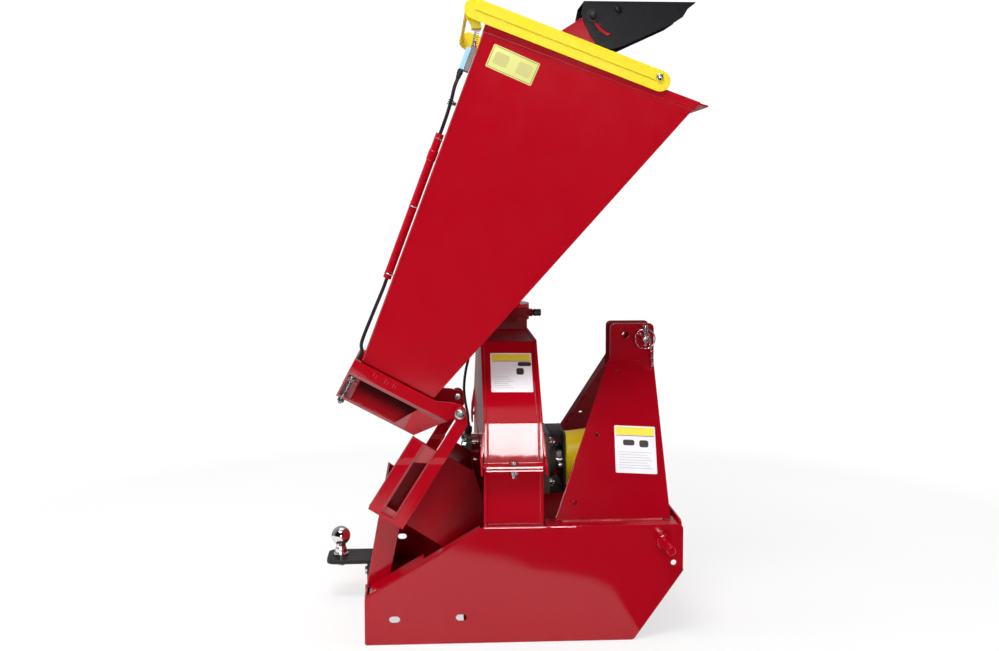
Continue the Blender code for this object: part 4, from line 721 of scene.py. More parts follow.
def chain():
    """Short chain from the linch pin's head to a rivet on the A-frame."""
    pts = catmull([W(0.5290, -0.0765, 0.7190), W(0.5340, -0.0790, 0.7020), W(0.5385, -0.0760, 0.6760), W(0.5435, -0.0700, 0.6480), W(0.5460, -0.0640, 0.6285)], 0.0098)
    bm = bmesh.new()
    for i in range(len(pts) - 1):
        a, b = pts[i], pts[i + 1]
        t = (b - a).normalized()
        side = t.cross(Vector((0, 1, 0))).normalized()
        if i % 2:
            side = (side + t.cross(side) * 1.6).normalized()
        c = (a + b) / 2
        half, w = (b - a).length / 2 + 0.0004, 0.0030
        loop = []
        for k in range(24):
            ang = 2 * math.pi * k / 24
            s_ = math.copysign(max(0.0, half - w), math.cos(ang)) if abs(math.cos(ang)) > 1e-6 else 0.0
            loop.append(c + t * (s_ + w * math.cos(ang)) + side * (w * math.sin(ang)))
        sweep(bm, loop, 0.00085, 8, True)
    build("linch_chain", bm, "zinc_plate", "frame")
    bm = bmesh.new()
    M = place(W(0.5465, -0.0560, 0.6260), (0, -0.80, 0.59))
    lathe(bm, [(0.0, -0.004), (0.0046, -0.004), (0.0046, 0.0045), (0.0030, 0.0072), (0.0, 0.0078)], M.translation, (0, -0.80, 0.59), 32)
    build("linch_chain_rivet", bm, "zinc_plate", "frame")


# ---------------------------------------------------------------- tow ball
def tow():
    R = 0.025
    prof = [(0.0, 0.0246), (0.0060, 0.0246)]
    for k in range(3, 33):
        a = math.pi / 2 - k * math.radians(148) / 33
        if R * math.cos(a) > 0.0064:
            prof.append((R * math.cos(a), R * math.sin(a)))
    prof += [(0.0131, -0.0222), (0.0124, -0.0258), (0.0127, -0.0300), (0.0148, -0.0324), (0.0150, -0.0428), (0.0164, -0.0446), (0.0198, -0.0458),
             (0.0198, -0.0519), (0.0099, -0.0519)]
    bm = bmesh.new()
    lathe(bm, prof + [(0.0099, -0.0640), (0.0, -0.0640)], W(-0.2775, 0, 0.1670), (0, 0, 1), 96, 0.0003)
    thread(bm, W(-0.2775, 0, 0.1045), (0, 0, -1), 0.0099, 0.0173, 0.0015, 48)
    build("tow_ball_body", bm, "chrome_ball", "frame", ("tow_ball",))
    bm = bmesh.new()
    hexagon(bm, W(-0.2775, 0, 0.1022), (0, 0, -1), 0.0165, 0.0101, turn=0.3)
    washer(bm, W(-0.2775, 0, 0.1022), (0, 0, 1), 0.0172, 0.0020, 0.0102)
    build("tow_ball_nut_body", bm, "zinc_plate", "frame", ("tow_ball_nut",))
    for z, nm in ((0.072, "upper"), (0.022, "lower")):
        bolt_through("tow_bolt_" + nm + "_body", W(-0.2061, 0, z), W(-0.1702, 0, z), 0.0060, 0.0105, 0.0078, 0.0095, 0.0164, "frame", "tow_bolt_" + nm)


# ---------------------------------------------------------------- drive
def drive():
    g0 = 0.233 + 0.0828
    bm = bmesh.new()
    prof = [(0.0300, 0.0002), (0.0300, 0.0030), (0.0644, 0.0030), (0.0674, 0.0058), (0.0699, 0.0300), (0.0741, 0.0620), (0.0774, 0.0704),
            (0.0801, 0.0693), (0.0771, 0.0608), (0.0730, 0.0293), (0.0708, 0.0048), (0.0678, 0.0002)]
    lathe(bm, prof, W(g0, 0, 0.370), (1, 0, 0), 120, 0.0010)
    build("pto_guard_bell", bm, "guard_plastic", "frame", ("pto_guard",), 30)
    # splined drive stub
    bm = bmesh.new()
    lathe(bm, [(0.0, -0.152), (0.0145, -0.152), (0.0150, -0.136), (0.0247, -0.136), (0.0247, 0.1640), (0.0172, 0.1700), (0.0172, 0.2000), (0.0, 0.2000)], W(0.16, 0, 0.370), (1, 0, 0), 64)
    n, rows = 72, []
    for x, k in ((0.198, 0.985), (0.200, 1.0), (0.2560, 1.0), (0.2585, 0.90), (0.2660, 0.90), (0.2685, 1.0), (0.2925, 1.0), (0.2950, 0.90)):
        row = []
        for j in range(n):
            a = 2 * math.pi * j / n
            f = (j % 12) / 12
            r0 = 0.01718 if f < 0.5 else 0.01500
            if k < 0.95:
                r0 = min(r0, 0.0152)
            row.append(bm.verts.new(W(0.16 + x, r0 * k * math.cos(a), 0.370 + r0 * k * math.sin(a))))
        rows.append(row)
    skin(bm, rows)
    bm.faces.new(rows[0])
    bm.faces.new(rows[-1])
    build("rotor_shaft_body", bm, "rotor_steel", "rotor", ("rotor_shaft",), 30)
    # bolts, washers and grease nipples of the two bearings
    for nm, face, sgn, boss in (("front", 0.2334 + 0.040, 1, 0.2334 + 0.060), ("rear", 0.0695 - 0.014, -1, 0.0695 - 0.026)):
        bm = bmesh.new()
        for sy in (-1, 1):
            for sz in (-1, 1):
                q = W(face, sy * 0.053, 0.370 + sz * 0.053)
                washer(bm, q - Vector((sgn * 0.0001, 0, 0)), (sgn, 0, 0), 0.0145, 0.0021, 0.006)
                hexagon(bm, q + Vector((sgn * 0.0020, 0, 0)), (sgn, 0, 0), 0.0120, 0.0086, turn=0.3 * sy + 0.5 * sz)
                if sgn > 0:
                    thread(bm, q + Vector((0.0080, 0, 0)), (1, 0, 0), 0.0058, 0.0080)
        build("bearing_bolts_" + nm, bm, "zinc_plate", "frame")
        bm = bmesh.new()
        q = W(boss - sgn * 0.012, -0.030, 0.370 + 0.032)
        d = Vector((0, -0.68, 0.73))
        hexagon(bm, q, d, 0.0052, 0.0140, 24)
        lathe(bm, [(0.0, 0.0), (0.0026, 0.0), (0.0026, 0.0175), (0.0034, 0.0190), (0.0034, 0.0212), (0.0016, 0.0228), (0.0, 0.0228)], q, d, 24)
        build("grease_nipple_" + nm, bm, "zinc_plate", "frame")
    # shanks seen between the rear bearing and the wall
    bm = bmesh.new()
    for sy in (-1, 1):
        for sz in (-1, 1):
            lathe(bm, [(0.0, 0.0), (0.0064, 0.0), (0.0064, 0.0196), (0.0, 0.0196)], W(0.0698, sy * 0.053, 0.370 + sz * 0.053), (1, 0, 0), 32)
    build("bearing_shanks_rear", bm, "zinc_plate", "frame")
    # locking collar on the front bearing's nose
    bm = bmesh.new()
    lathe(bm, [(0.0256, 0.0560), (0.0256, 0.0816), (0.0334, 0.0816), (0.0338, 0.0700), (0.0345, 0.0650), (0.0300, 0.0560)], W(0.2334, 0, 0.370), (1, 0, 0), 64, 0.0005)
    build("bearing_collar_front", bm, "rotor_steel", "frame")
    # rim of the flange, and the plate with its two blocks that carries the guard
    E = Matrix(((0, 0, 1), (1, 0, 0), (0, 1, 0))).to_4x4()

    def ring_plate(bm, half, r_in, u0, u1, corner):
        E.translation = W(u0, 0, 0.370)
        out = rounded([(-half, -half), (half, -half), (half, half), (-half, half)], corner, 6)
        n = len(out)
        inn = []
        for x, y in out:
            k = r_in / math.hypot(x, y)
            inn.append((x * k, y * k))
        rows = []
        for pts, h in ((inn, 0.0), (out, 0.0), (out, u1 - u0), (inn, u1 - u0)):
            rows.append([bm.verts.new(E @ Vector((x, y, h))) for x, y in pts])
        skin(bm, rows, True)
        es = [bm.edges.get((r[k], r[(k + 1) % n])) for r in (rows[1], rows[2]) for k in range(n)]
        bmesh.ops.bevel(bm, geom=[e for e in es if e], offset=0.0009, segments=2, affect="EDGES", profile=0.5)

    bm = bmesh.new()
    ring_plate(bm, 0.0815, 0.0600, 0.2575, 0.2732, 0.018)
    build("bearing_rim_front", bm, "bearing_iron", "frame")
    bm = bmesh.new()
    ring_plate(bm, 0.0800, 0.0480, 0.3090, 0.3156, 0.014)
    for z0, z1 in ((0.0655, 0.0830), (-0.0850, -0.0600)):
        M = Matrix(((1, 0, 0), (0, 0, -1), (0, 1, 0))).to_4x4()
        M.translation = W(0, 0.052, 0.370)
        slab(bm, [(0.2735, z0), (0.3088, z0), (0.3088, z1), (0.2735, z1)], 0.104, M, 0.0022)
    build("guard_carrier", bm, "guard_plate", "frame")
    bm = bmesh.new()
    for z, y, u0, u1 in ((0.0105, -0.066, 0.2900, 0.3089), (-0.0040, -0.070, 0.2965, 0.3089)):
        lathe(bm, [(0.0, 0.0), (0.0046, 0.0), (0.0056, 0.0008), (0.0056, u1 - u0), (0.0, u1 - u0)], W(u0, y, 0.370 + z), (1, 0, 0), 32)
    build("guard_carrier_screws", bm, "zinc_plate", "frame")


# ---------------------------------------------------------------- housing, hinge and clamp bolts
def bolts():
    for y, nm in ((-0.351, "near"), (0.351, "far")):
        bolt_through("housing_bolt_" + nm + "_body", W(0.1615, y, 0.4325), W(0.1615, y, 0.3997), 0.0060, 0.0105, 0.0083, 0.0095, 0.0136, "frame", "housing_bolt_" + nm)
    for y, sy, nm in ((-0.337, -1, "near"), (-0.041, 1, "far")):
        bm = bmesh.new()
        lathe(bm, [(0.0, 0.0085), (0.0070, 0.0084), (0.0105, 0.0074), (0.0124, 0.0050), (0.0124, 0.0004), (0.0079, 0.0004), (0.0079, -0.052), (0.0, -0.052)],
              W(0.033, y, 0.553), (0, sy, 0), 64, 0.0007)
        build("hinge_pin_" + nm + "_body", bm, "zinc_plate", "frame", ("hinge_pin_" + nm,))


def fr(kind, a, y, q):
    A, P = (A_H, P_H) if kind == "h" else (A_F, P_F)
    return PIN + A * a + P * q + Vector((0, y, 0))


def clamp():
    a, y = 0.2645, -0.298 + 0.0115
    bm = bmesh.new()
    thread(bm, fr("h", a, y, 0.0402), P_H, 0.0048, 0.0776, 0.00125, 28)
    hexagon(bm, fr("h", a, y, 0.0541), -P_H, 0.0092, 0.0083, turn=0.25)
    hexagon(bm, fr("h", a, y, 0.1046), P_H, 0.0092, 0.0083, turn=0.6)
    build("clamp_bolt_body", bm, "zinc_plate", "hopper", ("clamp_bolt",))


# ---------------------------------------------------------------- chute fastenings
def chute_parts():
    DY, DT = 0.0658, 0.0025
    for sy, nm in ((-1, "near"), (1, "far")):
        yb = 0.205 + sy * (DY + DT)
        bm = bmesh.new()
        lathe(bm, [(0.0, 0.0061), (0.0042, 0.0057), (0.0078, 0.0041), (0.0094, 0.0018), (0.0094, 0.0013), (0.0119, 0.0012), (0.0119, 0.0004), (0.0040, 0.0004), (0.0040, -0.0100), (0.0, -0.0100)],
              W(0.481, yb, 1.583), (0, sy, 0), 48, 0.0004)
        build("deflector_pivot_" + nm + "_body", bm, "black_paint", "chute", ("deflector_pivot_" + nm,))
    yb = 0.205 - (DY + DT)
    bm = bmesh.new()
    lathe(bm, [(0.0, 0.0090), (0.0040, 0.0087), (0.0082, 0.0072), (0.0110, 0.0044), (0.0119, 0.0021), (0.0188, 0.0019), (0.0188, 0.0004), (0.0040, 0.0004), (0.0040, -0.0100), (0.0, -0.0100)],
          W(0.412, yb, 1.567), (0, -1, 0), 64, 0.0005)
    build("deflector_lock_bolt_body", bm, "bracket_paint", "chute", ("deflector_lock_bolt",))
    # spring plunger
    bm = bmesh.new()
    lathe(bm, [(0.0, 0.0240), (0.0078, 0.0238), (0.0104, 0.0215), (0.0098, 0.0150), (0.0104, 0.0080), (0.0104, 0.0042), (0.0075, 0.0005), (0.0046, 0.0003), (0.0044, -0.0285), (0.0028, -0.0300), (0.0, -0.0300)],
          W(0.2523, 0.205, 0.742), (1, 0, 0), 72, 0.0006,
          wobble=lambda a, r, h: 1.0 - (0.035 * (0.5 + 0.5 * math.cos(12 * a)) if h > 0.004 and r > 0.009 else 0.0))
    build("lock_knob_body", bm, "knob_plastic", "knob", ("lock_knob",))
    for y, sy, nm in ((-0.4195, -1, "near"), (0.1175, 1, "far")):
        bm = bmesh.new()
        lathe(bm, [(0.0, 0.0044), (0.0020, 0.0043), (0.0024, 0.0022), (0.0034, 0.0022), (0.0040, 0.0042), (0.0066, 0.0034), (0.0084, 0.0012), (0.0084, 0.0004), (0.0045, 0.0004), (0.0045, -0.0095), (0.0, -0.0095)],
              W(0.489, y, 1.340), (0, sy, 0), 48, 0.0003)
        build("bar_pivot_" + nm + "_body", bm, "zinc_plate", "hopper", ("bar_pivot_" + nm,))


# ---------------------------------------------------------------- lead, conduit, switch and spring
HB_L, HM_L = Vector((-0.201, 0.6745)), Vector((0.095, 1.464))
HB_R, HM_R = Vector((-0.029, 0.5825)), Vector((0.584, 1.2845))
WD2 = (HM_L - HB_L).normalized()
WO2 = Vector((-WD2.y, WD2.x))
WD = Vector((WD2.x, 0, WD2.y))
WO = Vector((WO2.x, 0, WO2.y))


def beside(z, off, y):
    u = HB_L.x + (z - HB_L.y) * WD2.x / WD2.y
    return W(u + WO2.x * off, y, z + WO2.y * off)


def along(s_, off, y):
    return W(HB_L.x + WD2.x * s_ + WO2.x * off, y, HB_L.y + WD2.y * s_ + WO2.y * off)


def wall_s(z):
    return (z - HB_L.y) / WD2.y


def lead():
    gy = -0.367
    s_lo, s_hi = wall_s(1.3530), wall_s(1.4080)
    c_top, c_bot = beside(1.2100, 0.0125, -0.335), beside(0.8700, 0.0125, -0.290)
    cd = (c_top - c_bot).normalized()
    g_c = along(s_lo - 0.0003, 0.0185, gy)
    ge = g_c - WD * 0.0223
    route = [ge, ge - WD * 0.020, along(wall_s(1.2850), 0.0150, -0.362), along(wall_s(1.2500), 0.0128, -0.346), c_top + cd * 0.012, c_top - cd * 0.010,
             c_bot.lerp(c_top, 0.5), c_bot + cd * 0.010, c_bot - cd * 0.030, beside(0.7800, 0.0150, -0.284), beside(0.7150, 0.0160, -0.282),
             fr("h", 0.2735, -0.2820, -0.0170), fr("h", 0.2735, -0.2820, 0.0035)]
    bm = bmesh.new()
    sweep(bm, catmull(route, 0.005), 0.0042, 16)
    build("cable_upper_lead", bm, "cable_sheath", "hopper", ("cable_upper",), 60)
    # conduit, with the two lug plates of its saddle
    bm = bmesh.new()
    L = (c_top - c_bot).length
    lathe(bm, [(0.0074, 0.0), (0.0099, 0.0), (0.0099, 0.299), (0.0104, 0.3005), (0.0112, 0.302), (0.0112, 0.323), (0.0104, 0.3245), (0.0099, 0.326), (0.0099, L), (0.0074, L)], c_bot, cd, 48, 0.0005)
    build("cable_conduit_tube", bm, "hopper_paint", "hopper", ("cable_conduit",), 30)
    bm = bmesh.new()
    for f in (0.030, 0.500, 0.965):
        c = c_bot.lerp(c_top, f)
        ex, ey = WD, Vector((0, 1, 0))
        M = Matrix((ex, ey, ex.cross(ey))).transposed().to_4x4()
        wall = c - WO * 0.0127
        M.translation = wall - ex.cross(ey) * (0.0 if ex.cross(ey).dot(WO) > 0 else 0.0)
        w = 0.008
        sweep(bm, [c + WO * (0.0104 * math.sin(a)) + Vector((0, 0.0104 * math.cos(a), 0)) for a in [math.pi * k / 16 for k in range(17)]], 0.0011, 8)
        for sy in (-1, 1):
            sweep(bm, [c + Vector((0, sy * 0.0104, 0)), c - WO * 0.0114 + Vector((0, sy * 0.0104, 0)), c - WO * 0.0118 + Vector((0, sy * 0.0200, 0))], 0.0011, 8)
    build("conduit_saddles", bm, "zinc_plate", "hopper")
    # gland under the switch
    bm = bmesh.new()
    lathe(bm, [(0.0, 0.0), (0.0068, 0.0), (0.0068, 0.0098), (0.0057, 0.0112), (0.0056, 0.0135), (0.0060, 0.0140), (0.0060, 0.0155), (0.0055, 0.0160), (0.0058, 0.0178), (0.0050, 0.0184), (0.0046, 0.0220), (0.0, 0.0220)],
          g_c, -WD, 48, 0.0003, wobble=lambda a, r, h: 1.0 - (0.06 * (0.5 + 0.5 * math.cos(10 * a)) if h < 0.0105 and r > 0.006 else 0.0))
    build("switch_gland_body", bm, "cable_sheath", "hopper", ("switch_gland",))
    # clip that holds the lead to the wall
    bm = bmesh.new()
    c = along(wall_s(1.2800), 0.0150, -0.3600)
    for k in (-0.005, 0.0, 0.005):
        sweep(bm, [c + WD * k + WO * (0.0058 * math.cos(a)) + Vector((0, 0.0058 * math.sin(a), 0)) for a in [2 * math.pi * j / 24 for j in range(24)]], 0.0012, 8, True)
    sweep(bm, [c - WO * 0.0055, c - WO * 0.0138], 0.0040, 12)
    build("lead_clip", bm, "cable_sheath", "hopper")
    # slack lead to the rear bearing's gland
    gz = 0.370 + 0.0729 + 0.0304
    route = [W(0.0620, -0.0200, gz), W(0.0610, -0.0200, gz + 0.020), W(0.0560, -0.0190, gz + 0.045), W(0.0515, -0.0180, gz + 0.080), W(0.0520, -0.0240, gz + 0.110),
             W(0.0560, -0.0440, gz + 0.145), W(0.0612, -0.0600, gz + 0.172), W(0.0625, -0.0635, 0.6660), W(0.0600, -0.0624, 0.6880), W(0.0560, -0.0606, 0.7060)]
    bm = bmesh.new()
    pts = catmull(route, 0.005)
    sweep(bm, pts, 0.0036, 16)
    o = build("cable_slack_lead", bm, "cable_sheath", None, ("cable_slack",), 60)
    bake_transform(o)
    # clip on the hopper's far wall
    bm = bmesh.new()
    c, t = W(0.0600, -0.0624, 0.6880), (W(0.0560, -0.0606, 0.7060) - W(0.0625, -0.0635, 0.6660)).normalized()
    nrm = Vector((-0.10, 0.98, -0.19)).normalized()
    side = t.cross(nrm).normalized()
    for k in (-0.004, 0.0, 0.004):
        sweep(bm, [c + t * k + nrm * (0.0050 * math.sin(a)) + side * (0.0050 * math.cos(a)) for a in [math.pi * j / 16 for j in range(17)]], 0.0011, 8)
    for sg in (-1, 1):
        sweep(bm, [c + side * (0.0050 * sg) - nrm * 0.0028, c + side * (0.0135 * sg) - nrm * 0.0028], 0.0042, 12)
    build("slack_lead_clip", bm, "zinc_plate", "hopper")
    bm = bmesh.new()
    lathe(bm, [(0.0, 0.030), (0.0044, 0.030), (0.0050, 0.0285), (0.0053, 0.0225), (0.0062, 0.0195), (0.0108, 0.0180), (0.0110, 0.0170), (0.0110, 0.0050), (0.0104, 0.0040), (0.0085, 0.0002), (0.0, 0.0002)],
          W(0.0620, -0.0200, 0.370 + 0.0729), (0, 0, 1), 60, 0.0003, wobble=lambda a, r, h: 1.0 - (0.05 * (0.5 + 0.5 * math.cos(6 * a)) if 0.004 < h < 0.0185 and r > 0.009 else 0.0))
    build("speed_sensor_gland_body", bm, "cable_sheath", "frame", ("speed_sensor_gland",))
    # compression spring of the safety bar
    sp0, sp1 = W(0.0672, gy, 1.4165), W(0.0738, gy, 1.4490)
    ax = (sp1 - sp0)
    L = ax.length
    e = ax.normalized()
    u_ = e.orthogonal().normalized()
    v_ = e.cross(u_)
    pts = []
    turns, N = 7.0, 210
    for k in range(N + 1):
        f = k / N
        a = 2 * math.pi * turns * f
        h = 0.0009 + (L - 0.0018) * (0.10 * min(1, f / 0.12) + 0.80 * max(0, min(1, (f - 0.12) / 0.76)) + 0.10 * max(0, (f - 0.88) / 0.12))
        pts.append(sp0 + e * h + (u_ * math.cos(a) + v_ * math.sin(a)) * 0.0056)
    bm = bmesh.new()
    sweep(bm, pts, 0.00085, 8)
    o = build("bar_spring_coil", bm, "zinc_plate", "hopper", ("bar_spring",), 60)
    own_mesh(o)
    # guide pin of the spring, on the switch's foot
    bm = bmesh.new()
    lathe(bm, [(0.0, -0.0090), (0.0050, -0.0090), (0.0064, -0.0082), (0.0064, -0.0004), (0.0034, 0.0002), (0.0034, 0.0075), (0.0024, 0.0085), (0.0, 0.0085)], sp0, e, 40)
    build("spring_seat", bm, "zinc_plate", "hopper")


# ---------------------------------------------------------------- folded plates of the two infeed frames
def to_ap(kind, v):
    A, P = (A_H, P_H) if kind == "h" else (A_F, P_F)
    d = v - PIN
    return d.dot(A), d.dot(P)


def reshape(name, kind, cuts, move, paint_of):
    """Cut a finished copy along lines of constant p or a, push parts of it in, and paint its inner faces, among
    them with painted reflection and painted shade.
    """
    o = bpy.data.objects[name + "_finish"]
    A, P = (A_H, P_H) if kind == "h" else (A_F, P_F)
    bm = bmesh.new()
    bm.from_mesh(o.data)
    for axis, q in cuts:
        d = P if axis == "p" else A
        bmesh.ops.bisect_plane(bm, geom=bm.verts[:] + bm.edges[:] + bm.faces[:], dist=1e-6, plane_co=PIN + d * q, plane_no=d)
    for v in bm.verts:
        a, q = to_ap(kind, v.co)
        v.co.y += move(a, q, v.co.y)
    bm.normal_update()
    mats = []
    for f in bm.faces:
        a, q = to_ap(kind, f.calc_center_median())
        m = paint_of(a, q, f.calc_center_median().y, f.normal)
        if m:
            if m not in mats:
                mats.append(m)
            f.material_index = 1 + mats.index(m)
    bm.to_mesh(o.data)
    bm.free()
    for m in mats:
        o.data.materials.append(MATS[m])
    o.data.shade_smooth()
    o.data.set_sharp_from_angle(angle=math.radians(20))


def neck():
    """The neck gets a darker, duller coat: painted shade where the hopper shades it."""
    o = bpy.data.objects["housing_upper_finish"]
    o.data.materials.append(MATS["neck_paint"])
    for f in o.data.polygons:
        if f.center.z > 0.7004:
            f.material_index = 1


def frames():
    def h_move(a, q, y):
        if y < -0.290 and q > 0.0355:
            return 0.0075 * max(0.0, min(1.0, (q - 0.0355) / 0.0105))
        return 0.0

    def h_paint(a, q, y, n):
        # inner faces get the pinkish paint: painted reflection
        if y < -0.262 and q > 0.0355 and a < 0.290 and n.y < 0.5:
            if q < 0.0462 and a > -0.02:
                return "frame_inner_paint"
            if y < -0.284:
                return "frame_web_paint" if (a < 0.098 - (q - 0.046) * 0.30) else "frame_inner_paint"
            if a > 0.2485 and y < -0.270:
                return "frame_inner_paint"
        # the recess web gets the dark ramped paint: painted shade
        if -0.2745 < y < -0.2715 and n.y < -0.8 and 0.080 < a < 0.2500 and 0.0400 < q < 0.1010:
            return "frame_recess_paint"
        return None
    reshape("hopper_frame", "h", (("p", 0.0355), ("p", 0.0460), ("a", 0.080), ("a", 0.098)), h_move, h_paint)

    def f_paint(a, q, y, n):
        # the slot's web gets the dark paint: painted shade
        if -0.3060 < y < -0.3030 and n.y < -0.8 and 0.105 < a < 0.300 and -0.040 < q < 0.004:
            return "frame_slot_paint"
        return None
    reshape("infeed_frame", "f", (("p", -0.0362), ("p", 0.0002)), lambda a, q, y: 0.0, f_paint)
    bm = bmesh.new()
    M = Matrix((A_F, P_F, A_F.cross(P_F))).transposed().to_4x4()
    y0 = -0.3280
    M.translation = PIN + Vector((0, y0, 0))
    # folded lining of the slot with its own window, in pinkish paint: painted reflection
    out = [(0.1070, -0.0362), (0.2962, -0.0362), (0.2962, 0.0002), (0.1070, 0.0002)]
    inn = [(0.1560, -0.0318), (0.2800, -0.0318), (0.2800, -0.0036), (0.1420, -0.0036)]
    rows = []
    for pts, h in ((inn, 0.0), (out, 0.0), (out, 0.0024), (inn, 0.0024)):
        rows.append([bm.verts.new(M @ Vector((x, y, h))) for x, y in pts])
    skin(bm, rows, True)
    build("infeed_frame_lining", bm, "frame_lining_painted_highlight", "frame", (), 20)
    # pinkish lines along the slot's edges: painted highlight
    bm = bmesh.new()
    for q0, q1 in ((-0.0366, -0.0366), (-0.0018, -0.0018)):
        sweep(bm, [fr("f", 0.1075, -0.3362, q0), fr("f", 0.2960, -0.3362, q1)], 0.0012, 10)
    build("infeed_frame_edges", bm, "frame_lining_painted_highlight", "frame")


def bead(bm, pts, r, step=0.0030, flat=0.55):
    """Weld bead: a low rope with its ripples."""
    route = catmull(pts, step * 0.5)
    rnd = random.Random(len(route) * 7 + int(r * 1e6))
    k = [1.0 + 0.22 * math.sin(i * 3.1) + rnd.uniform(-0.10, 0.10) for i in range(len(route))]
    sweep(bm, route, r, 10, prof=lambda i, a: k[i])


def welds():
    # the beads' lighter paint is a painted highlight
    bm = bmesh.new()
    for a, q0, q1 in ((0.2240, 0.0120, 0.0215), (0.2160, 0.0140, 0.0235), (0.1920, 0.0120, 0.0240), (0.1845, 0.0150, 0.0230), (0.1700, 0.0130, 0.0250), (0.1640, 0.0160, 0.0230)):
        bead(bm, [fr("h", a, -0.2981, q0), fr("h", a - 0.0008, -0.2984, (q0 + q1) / 2), fr("h", a, -0.2981, q1)], 0.0008)
    build("hopper_frame_stitches", bm, "weld_painted_highlight", "hopper", (), 60)
    bm = bmesh.new()
    bead(bm, [W(0.2806, -0.3075, 0.2822), W(0.40, -0.3050, 0.2822), W(0.5270, -0.3020, 0.2822)], 0.0033)
    build("aframe_foot_weld", bm, "weld_painted_highlight", "frame", (), 60)
    bm = bmesh.new()
    for u in (0.1003, 0.2217):
        bead(bm, [W(u, -0.3316, 0.4345), W(u, -0.3236, 0.4820), W(u, -0.3152, 0.5300)], 0.0021)
    bead(bm, [W(0.2205, -0.3005, 0.5412), W(0.2195, -0.2700, 0.5716), W(0.2185, -0.2300, 0.6113)], 0.0017)
    build("housing_rim_weld", bm, "weld_painted_highlight", "frame", (), 60)


# ---------------------------------------------------------------- plain panels where the labels sit
def panel(name, tl, tr, br, bl, body, base, parts):
    ex = (Vector(tr) - Vector(tl) + Vector(br) - Vector(bl)).normalized()
    up = Vector(tl) - Vector(bl) + Vector(tr) - Vector(br)
    ey = (up - ex * up.dot(ex)).normalized()
    w = ((Vector(tr) - Vector(tl)).length + (Vector(br) - Vector(bl)).length) / 2
    h = ((Vector(tl) - Vector(bl)).length + (Vector(tr) - Vector(br)).length) / 2
    M = Matrix((ex, ey, ex.cross(ey))).transposed().to_4x4()
    c = (Vector(tl) + Vector(tr) + Vector(br) + Vector(bl)) / 4
    M.translation = c - ex * (w / 2) - ey * (h / 2) + ex.cross(ey) * 0.00005
    bm = bmesh.new()
    slab(bm, rounded([(0, 0), (w, 0), (w, h), (0, h)], 0.003, 4), 0.00030, M, 0.0001)
    build(name, bm, base, body)
    top = M.copy()
    top.translation = M.translation + ex.cross(ey) * 0.00030
    for i, (mat, x0, y0, x1, y1, r) in enumerate(parts):
        bm = bmesh.new()
        slab(bm, rounded([(x0 * w, y0 * h), (x1 * w, y0 * h), (x1 * w, y1 * h), (x0 * w, y1 * h)], r, 4), 0.00012, top, 0.0)
        build(name + "_print_%d" % (i + 1), bm, mat, body)


def build_folds():
    """Rolled upper fold of the near base plate, and the folded left edge of the hopper's near wall as a thin
    pinkish rod: painted highlight.
    """
    k = 0.166 / 0.986
    bm = bmesh.new()
    for (u0, z0), (u1, z1), h in (((-0.1925, 0.1178), (0.0868, 0.2806), 0.0036), ((0.0905, 0.2808), (0.2380, 0.2808), 0.0030), ((0.2480, 0.2808), (0.3100, 0.2808), 0.0026)):
        rows = []
        for u, z in ((u0, z0), (u1, z1)):
            y = -0.3459
            rows.append([bm.verts.new(W(u, yy, zz)) for yy, zz in ((y + 0.0030, z - h), (y + 0.0003, z - h - 0.0003), (y, z - h + 0.0003), (y + k * h, z - 0.0002),
                                                                  (y + k * h + 0.0008, z + 0.0003), (y + 0.0040, z + 0.0003))])
        skin(bm, rows)
        bm.faces.new(rows[0])
        bm.faces.new(rows[1])
    build("base_upper_fold", bm, "base_paint", "frame", (), 20)
    # pinkish line down the hopper's left edge: painted highlight
    bm = bmesh.new()
    sweep(bm, [W(-0.1985, -0.2884, 0.6750), W(-0.0500, -0.3446, 1.0710), W(0.0952, -0.4008, 1.4600)], 0.0009, 10)
    build("hopper_left_fold", bm, "frame_lining_painted_highlight", "hopper")
    # closing sheet low in the base, in dark paint: painted shade inside the base
    bm = bmesh.new()
    M = Matrix.Translation(W(0, 0, 0.0035))
    slab(bm, [(-0.1860, -0.1500), (0.1000, -0.1500), (0.1000, 0.3340), (-0.1860, 0.3340)], 0.0040, M, 0.0006)
    build("base_closing_sheet", bm, "pan_paint", "frame")


def hems():
    """Rolled front hems of the two split flanges; their faces lean back a little."""
    bm = bmesh.new()
    for z0, z1, y0 in ((0.4272, 0.4316, -0.3679), (0.4200, 0.4232, -0.3672)):
        k = 0.166 / 0.986
        sec = [(y0 + 0.0024, z0), (y0 + 0.0006, z0 - 0.0003), (y0, z0 + 0.0004), (y0 + k * (z1 - z0), z1 - 0.0003), (y0 + k * (z1 - z0) + 0.0006, z1 + 0.0003), (y0 + 0.0032, z1)]
        rows = [[bm.verts.new(W(u, y, z)) for y, z in sec] for u in (0.0950, 0.2280)]
        skin(bm, rows)
        bm.faces.new(rows[0])
        bm.faces.new(rows[1])
    build_folds()
    build("housing_flange_hems", bm, "base_paint", "frame", (), 20)


